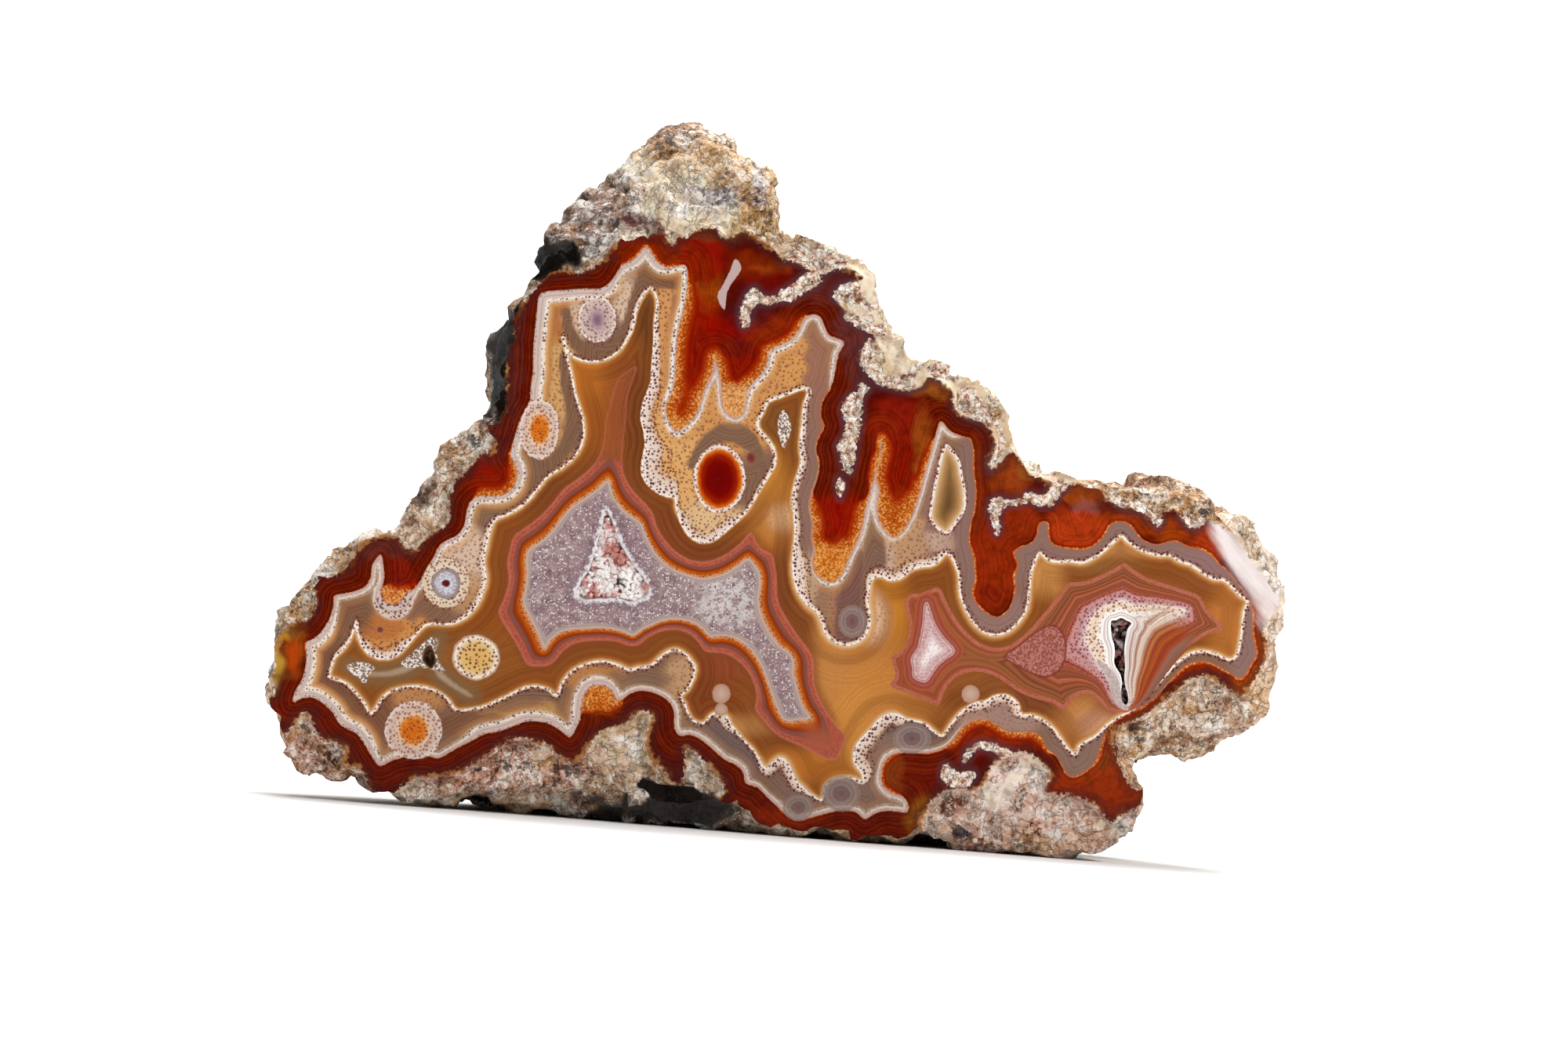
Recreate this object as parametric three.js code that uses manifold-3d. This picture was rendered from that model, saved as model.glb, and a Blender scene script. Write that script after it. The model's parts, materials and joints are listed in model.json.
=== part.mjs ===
// A sawn half nodule of laguna agate, standing on its rough base with the polished face to the front.
// Millimetres, +Z up. The polished face looks along -Y, and the origin is under the middle of the stone.
// The agate, its rind and the rock that clings to it grew as one piece, so they are one solid.
// Two hollows in the face are lined with small quartz crystals: each lining is one crust.
import * as THREE from 'three';
import { LoftGeometry } from 'three/addons/geometries/LoftGeometry.js';
import { ImprovedNoise } from 'three/addons/math/ImprovedNoise.js';
import { mergeVertices } from 'three/addons/utils/BufferGeometryUtils.js';
import Module from 'manifold-3d';

const wasm = await Module();
wasm.setup();

// Driving dimensions
const STONE_WIDTH = 120; // left tip to right tip, with the stone standing level
const STONE_DEPTH = 44; // polished face to the back of the dome
const FLOOR_CUT = 0.6; // how much of the lowest points is worn flat where the stone stands
const CRUST_GAP = 0.3; // between a crystal crust and the wall of its hollow

// The outlines below are read in the picture's own pixels, x to the right and y down.
const STONE_WIDTH_PX = 1294; // the level stone from tip to tip
const PX = STONE_WIDTH / STONE_WIDTH_PX; // one pixel in millimetres
const LEVEL_ANGLE = THREE.MathUtils.degToRad( 4.6 ); // the picture shows the base sloping down to the right
const PICTURE_CENTRE = [ 1000, 800 ]; // this pixel is the middle that the outlines turn about
const LOWEST_PX = 273; // from that middle down to the lowest points of the level stone
const FLOOR_BELOW_CENTRE = LOWEST_PX * PX - FLOOR_CUT;

// Edge of the sawn face, clockwise from the upper left corner.
const FACE_EDGE = [
	[ 684, 354 ], [ 693, 349 ], [ 702, 345 ], [ 718, 340 ], [ 738, 341 ], [ 748, 336 ], [ 758, 328 ],
	[ 768, 320 ], [ 780, 311 ], [ 795, 300 ], [ 810, 296 ], [ 825, 295 ], [ 842, 294 ], [ 862, 292 ],
	[ 880, 286 ], [ 896, 284 ], [ 913, 284 ], [ 930, 284 ], [ 946, 281 ], [ 960, 279 ], [ 974, 280 ],
	[ 985, 286 ], [ 995, 296 ], [ 1015, 301 ], [ 1045, 308 ], [ 1075, 312 ], [ 1090, 318 ], [ 1103, 334 ],
	[ 1117, 355 ], [ 1122, 378 ], [ 1138, 400 ], [ 1148, 425 ], [ 1160, 444 ], [ 1166, 452 ], [ 1180, 450 ],
	[ 1200, 452 ], [ 1218, 460 ], [ 1240, 476 ], [ 1262, 496 ], [ 1278, 520 ], [ 1290, 542 ], [ 1298, 568 ],
	[ 1310, 589 ], [ 1328, 604 ], [ 1350, 606 ], [ 1372, 611 ], [ 1398, 620 ], [ 1425, 622 ], [ 1442, 624 ],
	[ 1458, 630 ], [ 1478, 636 ], [ 1500, 643 ], [ 1522, 648 ], [ 1545, 652 ], [ 1568, 662 ], [ 1588, 676 ],
	[ 1604, 694 ], [ 1616, 714 ], [ 1626, 735 ], [ 1633, 756 ], [ 1633, 776 ], [ 1625, 796 ], [ 1622, 812 ],
	[ 1627, 832 ], [ 1625, 852 ], [ 1617, 872 ], [ 1616, 892 ], [ 1610, 910 ], [ 1590, 922 ], [ 1565, 930 ],
	[ 1540, 936 ], [ 1515, 940 ], [ 1490, 941 ], [ 1468, 944 ], [ 1452, 954 ], [ 1446, 968 ], [ 1447, 982 ],
	[ 1455, 996 ], [ 1458, 1012 ], [ 1452, 1028 ], [ 1445, 1044 ], [ 1442, 1060 ], [ 1434, 1072 ],
	[ 1415, 1078 ], [ 1392, 1082 ], [ 1372, 1088 ], [ 1352, 1092 ], [ 1334, 1086 ], [ 1314, 1079 ],
	[ 1290, 1083 ], [ 1262, 1080 ], [ 1232, 1076 ], [ 1208, 1070 ], [ 1192, 1062 ], [ 1165, 1067 ],
	[ 1140, 1073 ], [ 1110, 1077 ], [ 1082, 1073 ], [ 1060, 1062 ], [ 1030, 1063 ], [ 1000, 1060 ],
	[ 975, 1053 ], [ 950, 1045 ], [ 930, 1034 ], [ 916, 1019 ], [ 905, 1006 ], [ 885, 1008 ], [ 862, 1014 ],
	[ 838, 1015 ], [ 815, 1013 ], [ 795, 1008 ], [ 775, 998 ], [ 760, 990 ], [ 745, 984 ], [ 725, 992 ],
	[ 700, 1000 ], [ 670, 1006 ], [ 640, 1008 ], [ 610, 1010 ], [ 580, 1011 ], [ 550, 1009 ], [ 525, 1009 ],
	[ 508, 1014 ], [ 490, 1012 ], [ 470, 1004 ], [ 456, 996 ], [ 435, 998 ], [ 410, 997 ], [ 390, 989 ],
	[ 374, 977 ], [ 363, 960 ], [ 360, 943 ], [ 353, 926 ], [ 345, 910 ], [ 336, 896 ], [ 333, 882 ],
	[ 340, 870 ], [ 338, 855 ], [ 342, 838 ], [ 341, 820 ], [ 347, 802 ], [ 356, 784 ], [ 368, 764 ],
	[ 382, 748 ], [ 400, 734 ], [ 412, 716 ], [ 430, 700 ], [ 455, 689 ], [ 485, 679 ], [ 514, 668 ],
	[ 518, 652 ], [ 528, 634 ], [ 532, 618 ], [ 541, 604 ], [ 547, 588 ], [ 557, 568 ], [ 575, 557 ],
	[ 600, 554 ], [ 611, 543 ], [ 619, 526 ], [ 630, 514 ], [ 637, 498 ], [ 641, 478 ], [ 645, 453 ],
	[ 647, 428 ], [ 651, 400 ], [ 660, 380 ], [ 673, 366 ],
];

// Lumps of rough rock that show past the sawn edge because they stand behind it.
// Each runs clockwise along its own outline, from its first point to its last, setBack millimetres behind the face.
const LUMPS = [
	{
		name: 'top knob',
		setBack: 13,
		outline: [
			[ 684, 354 ], [ 684, 338 ], [ 692, 308 ], [ 706, 286 ], [ 718, 270 ], [ 732, 251 ], [ 747, 233 ],
			[ 775, 216 ], [ 800, 193 ], [ 812, 172 ], [ 843, 157 ], [ 880, 144 ], [ 912, 156 ], [ 939, 173 ],
			[ 951, 191 ], [ 977, 206 ], [ 995, 230 ], [ 992, 256 ], [ 985, 286 ],
		],
	},
	{
		name: 'upper right ledge',
		setBack: 5,
		outline: [
			[ 1442, 624 ], [ 1447, 617 ], [ 1462, 601 ], [ 1480, 596 ], [ 1505, 608 ], [ 1530, 620 ],
			[ 1552, 640 ], [ 1580, 653 ], [ 1599, 661 ], [ 1612, 684 ], [ 1628, 708 ], [ 1638, 734 ],
			[ 1642, 766 ], [ 1636, 788 ], [ 1625, 796 ],
		],
	},
	{
		name: 'lower right ledge',
		setBack: 6,
		outline: [
			[ 1617, 872 ], [ 1622, 888 ], [ 1621, 912 ], [ 1606, 929 ], [ 1582, 939 ], [ 1560, 950 ],
			[ 1543, 960 ], [ 1522, 970 ], [ 1500, 977 ], [ 1482, 968 ], [ 1466, 961 ], [ 1452, 964 ], [ 1446, 968 ],
		],
	},
	{
		name: 'right foot',
		setBack: 3.5,
		outline: [
			[ 1434, 1072 ], [ 1426, 1082 ], [ 1400, 1088 ], [ 1386, 1091 ], [ 1368, 1100 ], [ 1346, 1101 ],
			[ 1326, 1090 ], [ 1308, 1091 ], [ 1288, 1096 ], [ 1258, 1091 ], [ 1220, 1087 ], [ 1205, 1081 ],
			[ 1192, 1068 ], [ 1165, 1074 ], [ 1140, 1081 ], [ 1110, 1085 ], [ 1084, 1083 ], [ 1062, 1068 ],
			[ 1032, 1072 ], [ 1000, 1067 ], [ 975, 1064 ],
		],
	},
	{
		name: 'hidden underside',
		setBack: 9,
		outline: [
			[ 975, 1064 ], [ 930, 1060 ], [ 880, 1063 ], [ 840, 1064 ], [ 806, 1055 ], [ 782, 1057 ],
			[ 752, 1054 ], [ 738, 1041 ], [ 722, 1046 ], [ 708, 1037 ], [ 694, 1032 ], [ 675, 1041 ],
			[ 650, 1033 ], [ 620, 1022 ], [ 590, 1023 ], [ 560, 1031 ], [ 524, 1030 ], [ 508, 1022 ], [ 490, 1012 ],
		],
	},
	{
		name: 'left shoulder',
		setBack: 12,
		outline: [
			[ 619, 526 ], [ 622, 512 ], [ 624, 494 ], [ 622, 470 ], [ 624, 444 ], [ 630, 422 ], [ 645, 406 ],
			[ 660, 380 ],
		],
	},
];

// Hollows in the face, clockwise, each with its depth in millimetres.
const CORE_HOLLOW = {
	depth: 4,
	outline: [
		[ 772, 662 ], [ 781, 668 ], [ 785, 685 ], [ 793, 702 ], [ 802, 717 ], [ 816, 728 ], [ 822, 740 ],
		[ 829, 751 ], [ 822, 759 ], [ 808, 764 ], [ 790, 760 ], [ 764, 762 ], [ 741, 762 ], [ 738, 752 ],
		[ 745, 740 ], [ 748, 728 ], [ 757, 713 ], [ 761, 699 ], [ 767, 684 ],
	],
};
const SLIT_HOLLOW = {
	depth: 8,
	outline: [
		[ 1417, 792 ], [ 1430, 788 ], [ 1443, 794 ], [ 1439, 806 ], [ 1437, 824 ], [ 1438, 844 ],
		[ 1438, 864 ], [ 1440, 884 ], [ 1439, 898 ], [ 1430, 898 ], [ 1426, 882 ], [ 1424, 866 ],
		[ 1420, 848 ], [ 1419, 830 ], [ 1417, 812 ],
	],
};
const SMALL_VUG = {
	depth: 3,
	outline: [
		[ 549, 822 ], [ 553, 830 ], [ 555, 845 ], [ 549, 851 ], [ 543, 848 ], [ 541, 838 ], [ 543, 828 ],
	],
};

// Where a pixel of the picture lies on the levelled stone: x across and z up, in millimetres.
function onFace( [ px, py ] ) {

	const point = new THREE.Vector2( px - PICTURE_CENTRE[ 0 ], PICTURE_CENTRE[ 1 ] - py );
	point.multiplyScalar( PX );
	point.rotateAround( new THREE.Vector2(), LEVEL_ANGLE );
	point.y += FLOOR_BELOW_CENTRE;
	return point;

}

const rockNoise = new ImprovedNoise();

// Lumpy rock relief between -1 and 1 at a point, with bumps of about size millimetres.
function relief( point, size ) {

	return rockNoise.noise( point.x / size + 7.3, point.y / size + 2.9, point.z / size + 5.1 ) * 1.6;

}

// The index of the face edge's point nearest to a pixel.
function nearestOnEdge( [ px, py ] ) {

	const away = FACE_EDGE.map( ( [ x, y ] ) => Math.hypot( x - px, y - py ) );
	return away.indexOf( Math.min( ...away ) );

}

// Rounded lumps packed side by side, between 0 in the creases and 1 on the tops, about size millimetres apart.
function lumps( point, size ) {

	const cell = point.clone().divideScalar( size ).floor();
	let nearest = 2;

	for ( let dx = - 1; dx <= 1; dx ++ ) {

		for ( let dy = - 1; dy <= 1; dy ++ ) {

			for ( let dz = - 1; dz <= 1; dz ++ ) {

				const corner = cell.clone().add( new THREE.Vector3( dx, dy, dz ) );
				const seed = corner.x * 12.9898 + corner.y * 78.233 + corner.z * 37.719;
				const middle = corner.clone();
				middle.x += THREE.MathUtils.euclideanModulo( Math.sin( seed ) * 43758.5453, 1 );
				middle.y += THREE.MathUtils.euclideanModulo( Math.sin( seed + 1.7 ) * 24634.6345, 1 );
				middle.z += THREE.MathUtils.euclideanModulo( Math.sin( seed + 4.1 ) * 35412.1723, 1 );
				nearest = Math.min( nearest, middle.multiplyScalar( size ).distanceTo( point ) / size );

			}

		}

	}

	return Math.sqrt( Math.max( 0, 1 - nearest * nearest ) );

}

// For each point of the face edge, where the stone is widest behind it and how far back that is.
function widestOutline() {

	const widest = FACE_EDGE.map( ( pixel ) => ( { at: onFace( pixel ), setBack: 0 } ) );

	for ( const lump of LUMPS ) {

		const start = nearestOnEdge( lump.outline[ 0 ] );
		let end = nearestOnEdge( lump.outline[ lump.outline.length - 1 ] );
		if ( end < start ) end += FACE_EDGE.length;
		const curve = new THREE.SplineCurve( lump.outline.map( onFace ) );

		for ( let i = start; i <= end; i ++ ) {

			const along = ( i - start ) / ( end - start );
			const entry = widest[ i % FACE_EDGE.length ];
			entry.at = curve.getPointAt( along );
			// The set-back fades to nothing at both ends, so the lump grows out of the sawn edge.
			entry.setBack = lump.setBack * Math.min( 1, 2.5 * Math.min( along, 1 - along ) );

		}

	}

	return widest;

}

// The middle of a run of outline points around point i, reach points to either side.
function runMiddle( points, i, reach ) {

	const sum = new THREE.Vector2();
	for ( let k = - reach; k <= reach; k ++ ) sum.add( points[ ( i + k + points.length ) % points.length ] );
	return sum.divideScalar( 2 * reach + 1 );

}

// The whole stone before its hollows are cut: rings from the sawn face to the back of the dome.
function roughStone() {

	const RING_COUNT = 18;
	const DOME_POWER = 2.5; // 2 is an ellipse, and more is boxier
	const LAST_ANGLE = 1.44; // where the rings stop, just short of the pole of the dome
	const WEATHERED = { lump: 16, lumpHeight: 6.5, bump: 6.5, bumpHeight: 1.3, swell: 34, swellHeight: 2.5 };
	const STANDING = { depth: 23, halfDepth: 12, halfWidth: 36, low: 9 }; // the hidden part of the base
	const domeCentre = onFace( [ 950, 880 ] ); // low down, so that the base stays level as the dome narrows
	const widest = widestOutline();
	const widestAt = widest.map( ( entry ) => entry.at );

	const sections = [];

	for ( let ring = 0; ring < RING_COUNT; ring ++ ) {

		const angle = LAST_ANGLE * Math.pow( ring / ( RING_COUNT - 1 ), 1.25 );
		const depth = STONE_DEPTH * Math.pow( Math.sin( angle ), 2 / DOME_POWER );

		sections.push( FACE_EDGE.map( ( pixel, i ) => {

			const edge = onFace( pixel );
			const { at, setBack } = widest[ i ];
			if ( ring === 0 ) return new THREE.Vector3( edge.x, 0, edge.y );

			// Out to the widest outline, then over the dome, with the outline's small notches smoothed away.
			const out = setBack > 0 ? Math.min( 1, depth / setBack ) : 1;
			const past = Math.max( 0, ( depth - setBack ) / ( STONE_DEPTH - setBack ) );
			const dome = Math.pow( 1 - Math.pow( past, DOME_POWER ), 1 / DOME_POWER );
			const reach = Math.round( 24 * THREE.MathUtils.smoothstep( past, 0.04, 0.85 ) );
			const reached = edge.clone().lerp( at, Math.sin( out * Math.PI / 2 ) );
			const smooth = reach > 0 && out === 1 ? runMiddle( widestAt, i, reach ) : reached;
			const offset = smooth.clone().sub( domeCentre ).multiplyScalar( dome );
			const limit = reached.distanceTo( domeCentre );
			if ( offset.length() > limit ) offset.setLength( limit );
			const spot = domeCentre.clone().add( offset );
			const point = new THREE.Vector3( spot.x, depth, spot.y );

			// Weathered lumps, pushed out or in along the dome's own slope, and none at the outline seen in front.
			const slope = offset.clone().normalize().multiplyScalar( Math.cos( angle ) );
			const outward = new THREE.Vector3( slope.x, Math.sin( angle ), slope.y ).normalize();
			const height = WEATHERED.lumpHeight * ( lumps( point, WEATHERED.lump ) - 0.75 )
				+ WEATHERED.bumpHeight * relief( point, WEATHERED.bump )
				+ WEATHERED.swellHeight * relief( point, WEATHERED.swell );
			const away = Math.min( 1, Math.abs( depth - setBack ) / 9 );
			const seenInFront = dome > 0.93 ? Math.min( 0, height ) - 0.25 : height;
			point.addScaledVector( outward, seenInFront * away );

			// The hidden part of the base is pushed down onto the surface it stands on.
			const acrossShare = Math.abs( point.x - domeCentre.x ) / STANDING.halfWidth;
			const depthShare = Math.abs( depth - STANDING.depth ) / STANDING.halfDepth;
			const push = 1 - THREE.MathUtils.smoothstep( Math.hypot( acrossShare, depthShare ), 0.75, 1.25 );
			if ( point.z < STANDING.low ) point.z = THREE.MathUtils.lerp( point.z, Math.min( point.z, - 0.6 ), push );
			return point;

		} ) );

	}

	// The rings close on one point, a little behind the last of them.
	const pole = new THREE.Vector3();
	for ( const point of sections[ RING_COUNT - 1 ] ) pole.add( point );
	pole.divideScalar( FACE_EDGE.length );
	sections.push( FACE_EDGE.map( () => pole ) );
	return new LoftGeometry( sections, { capStart: true, capEnd: false } );

}

// A closed geometry as a solid that can be joined and cut.
function solidOf( geometry ) {

	const bare = geometry.index ? geometry.toNonIndexed() : geometry.clone();
	for ( const name of Object.keys( bare.attributes ) ) if ( name !== 'position' ) bare.deleteAttribute( name );
	const merged = mergeVertices( bare, 1e-4 );
	const corners = [];

	for ( let i = 0; i < merged.index.count; i += 3 ) {

		const [ a, b, c ] = merged.index.array.slice( i, i + 3 );
		// Triangles that have shrunk to a line, as at the pole of the dome, are left out.
		if ( a !== b && b !== c && c !== a ) corners.push( a, b, c );

	}

	const mesh = new wasm.Mesh( {
		numProp: 3,
		vertProperties: new Float32Array( merged.attributes.position.array ),
		triVerts: new Uint32Array( corners ),
	} );
	return new wasm.Manifold( mesh );

}

// A solid as a geometry again, with flat faces.
function geometryOf( solid ) {

	const mesh = solid.getMesh();
	const geometry = new THREE.BufferGeometry();
	geometry.setAttribute( 'position', new THREE.BufferAttribute( new Float32Array( mesh.vertProperties ), 3 ) );
	geometry.setIndex( new THREE.BufferAttribute( new Uint32Array( mesh.triVerts ), 1 ) );
	const flat = geometry.toNonIndexed();
	flat.computeVertexNormals();
	return flat;

}

// A clockwise outline with every side moved inward by gap.
function inset( points, gap ) {

	return points.map( ( point, i ) => {

		const before = points[ ( i + points.length - 1 ) % points.length ];
		const after = points[ ( i + 1 ) % points.length ];
		const into = point.clone().sub( before ).normalize();
		const onward = after.clone().sub( point ).normalize();
		const inward = new THREE.Vector2( into.y + onward.y, - into.x - onward.x ).normalize();
		const stretch = Math.max( 0.5, inward.x * onward.y - inward.y * onward.x ); // sharp corners move further
		return point.clone().addScaledVector( inward, gap / stretch );

	} );

}

// A hollow's outline pushed straight back from y = front to y = back, with its sides moved inward by gap.
function prismOf( outline, front, back, gap = 0 ) {

	const points = inset( outline.map( onFace ), gap );
	const geometry = new THREE.ExtrudeGeometry( new THREE.Shape( points ), { depth: back - front, bevelEnabled: false } );
	geometry.rotateX( Math.PI / 2 ); // the shape's own y becomes z, and the push runs along -y
	geometry.translate( 0, back, 0 );
	return solidOf( geometry );

}

// A block that takes away all below the surface the stone stands on.
function belowFloor() {

	const size = STONE_WIDTH * 2;
	const block = new THREE.BoxGeometry( size, size, size );
	block.translate( 0, 0, - size / 2 );
	return solidOf( block );

}

// One quartz point: a six-sided prism with a pointed end, its root at the origin and its tip along -y.
function quartzPoint( radius, length ) {

	const profile = [
		new THREE.Vector2( 0, 0 ), new THREE.Vector2( radius, 0 ),
		new THREE.Vector2( radius * 0.96, length * 0.55 ), new THREE.Vector2( 0, length ),
	];
	const crystal = new THREE.LatheGeometry( profile, 6 );
	crystal.rotateX( - Math.PI / 2 ); // the crystal's long way turns from +y to -z
	crystal.rotateX( - Math.PI / 2 ); // and from -z to -y
	return crystal;

}

// A crust in a hollow: a floor slab with a field of quartz points fused to it, trimmed to the hollow.
function crustOf( { outline, depth }, { slab, spacing, radius, length } ) {

	const floorFront = depth - CRUST_GAP - slab;
	const inside = prismOf( outline, 0.2, depth - CRUST_GAP, CRUST_GAP );
	let crust = prismOf( outline, floorFront, depth - CRUST_GAP, CRUST_GAP );
	const bounds = new THREE.Box2().setFromPoints( outline.map( onFace ) );

	for ( let x = bounds.min.x; x < bounds.max.x; x += spacing ) {

		for ( let z = bounds.min.y; z < bounds.max.y; z += spacing ) {

			const jitter = new THREE.Vector3( x, depth, z );
			const lean = relief( jitter, 0.83 );
			const turn = relief( jitter, 1.37 );
			const crystal = quartzPoint( radius * ( 1 + 0.25 * turn ), length * ( 1 + 0.3 * lean ) );
			crystal.rotateY( turn * Math.PI );
			crystal.rotateX( lean * 0.5 );
			crystal.rotateZ( turn * 0.5 );
			crystal.translate( x + 0.2 * lean, floorFront + slab / 2, z + 0.2 * turn );
			crust = crust.add( solidOf( crystal ).intersect( inside ) );

		}

	}

	// Points that the trim cut loose from the slab are left out.
	const pieces = crust.decompose();
	return pieces.reduce( ( most, piece ) => ( piece.volume() > most.volume() ? piece : most ) );

}

function finish( color, roughness ) {

	return new THREE.MeshStandardMaterial( { color, roughness, metalness: 0, flatShading: true } );

}

function makeNodule() {

	let solid = solidOf( roughStone() );
	for ( const { outline, depth } of [ CORE_HOLLOW, SLIT_HOLLOW, SMALL_VUG ] ) {

		solid = solid.subtract( prismOf( outline, - 1, depth ) );

	}

	solid = solid.subtract( belowFloor() );
	const nodule = new THREE.Mesh( geometryOf( solid ), finish( 0x9a5a32, 0.35 ) );
	nodule.name = 'nodule';
	return nodule;

}

function makeCoreDruse() {

	const crust = crustOf( CORE_HOLLOW, { slab: 1, spacing: 1.45, radius: 0.85, length: 2.2 } );
	const druse = new THREE.Mesh( geometryOf( crust ), finish( 0xe9dcd8, 0.3 ) );
	druse.name = 'core_druse';
	return druse;

}

function makeSlitDruse() {

	const crust = crustOf( SLIT_HOLLOW, { slab: 1.2, spacing: 0.95, radius: 0.55, length: 3.2 } );
	const druse = new THREE.Mesh( geometryOf( crust ), finish( 0x4a1a18, 0.2 ) );
	druse.name = 'slit_druse';
	return druse;

}

const stone = new THREE.Group();
stone.add( makeNodule(), makeCoreDruse(), makeSlitDruse() );

// The origin is under the middle of the stone, on the surface it stands on.
const extent = new THREE.Box3().setFromObject( stone );
const middle = extent.getCenter( new THREE.Vector3() );
stone.position.set( - middle.x, - middle.y, - extent.min.z );

const agate = new THREE.Group();
agate.add( stone );

export default agate;
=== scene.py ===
# %% [markdown]
# # A sawn and polished half of a laguna agate nodule
# The stone is agate that filled a hollow in volcanic rock, band after band from the wall inwards. It was
# sawn in half and the cut was polished, so the face is flat and shows every band, while the back keeps its
# rough rind. The frame holds the plain solids at their real size. This lesson dresses them: a rough rind,
# a face that carries its bands, and two crystal-lined hollows.

# %% Load the frame
import json
import math
import random

import bpy
import numpy as np
from mathutils import Matrix, Vector, noise


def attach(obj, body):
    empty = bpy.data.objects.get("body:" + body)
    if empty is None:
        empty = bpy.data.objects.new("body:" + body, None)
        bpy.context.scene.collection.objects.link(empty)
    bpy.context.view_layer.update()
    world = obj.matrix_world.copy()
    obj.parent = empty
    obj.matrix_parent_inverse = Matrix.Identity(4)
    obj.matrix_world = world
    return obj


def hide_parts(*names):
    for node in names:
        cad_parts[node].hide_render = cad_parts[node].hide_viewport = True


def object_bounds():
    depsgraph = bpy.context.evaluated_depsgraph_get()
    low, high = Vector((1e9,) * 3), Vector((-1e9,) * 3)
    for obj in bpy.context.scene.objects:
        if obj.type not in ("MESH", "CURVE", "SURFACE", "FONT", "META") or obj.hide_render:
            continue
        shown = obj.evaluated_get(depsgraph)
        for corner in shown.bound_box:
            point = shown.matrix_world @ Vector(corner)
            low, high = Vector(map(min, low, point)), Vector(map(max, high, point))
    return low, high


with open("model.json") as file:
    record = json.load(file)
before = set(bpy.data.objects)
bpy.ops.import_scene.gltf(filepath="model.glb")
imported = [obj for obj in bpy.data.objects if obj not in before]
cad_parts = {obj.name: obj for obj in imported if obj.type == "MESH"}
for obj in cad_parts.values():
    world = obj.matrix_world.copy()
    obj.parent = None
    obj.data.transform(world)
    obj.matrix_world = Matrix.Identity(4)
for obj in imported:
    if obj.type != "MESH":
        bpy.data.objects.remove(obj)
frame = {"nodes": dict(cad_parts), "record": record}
cad_low, cad_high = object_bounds()
print("the plain solids measure", [round(v * 1000, 1) for v in cad_high - cad_low], "mm")

# %% [markdown]
# ## From the picture to the stone
# Every outline of the face is read in the picture's own pixels. The polished face is a flat plane, so one
# scale, one turn and one fixed point carry a pixel onto the stone and back again. The stone stands level
# here, while the picture shows it turned by a few degrees, and the camera takes the same turn later.

# %% Picture and stone
PX = 0.12 / 1294  # one pixel on the face, in metres: the stone is 120 mm wide
TURN = math.radians(4.6)
MIDDLE_X = 1000
MIDDLE_Y = 800
FRAME_MIDDLE = (1000, 667)
face_mount = [m for m in frame["record"]["mounts"] if m["name"] == "polished_face"][0]
ANCHOR = Vector(face_mount["pos_m"])
FACE_Y = ANCHOR.y


def to_picture(x, z):
    """Pixel that a point of the face shows at."""
    right = x - ANCHOR.x
    up = z - ANCHOR.z
    across = right * math.cos(TURN) + up * math.sin(TURN)
    above = up * math.cos(TURN) - right * math.sin(TURN)
    return MIDDLE_X + across / PX, MIDDLE_Y - above / PX


def to_stone(px, py):
    """Point of the face plane, x and z in metres, that shows at a pixel."""
    across = (px - MIDDLE_X) * PX
    above = (MIDDLE_Y - py) * PX
    x = across * math.cos(TURN) - above * math.sin(TURN)
    z = across * math.sin(TURN) + above * math.cos(TURN)
    return x + ANCHOR.x, z + ANCHOR.z


print("one pixel is", round(PX * 1000, 4), "mm on the face")
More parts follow.
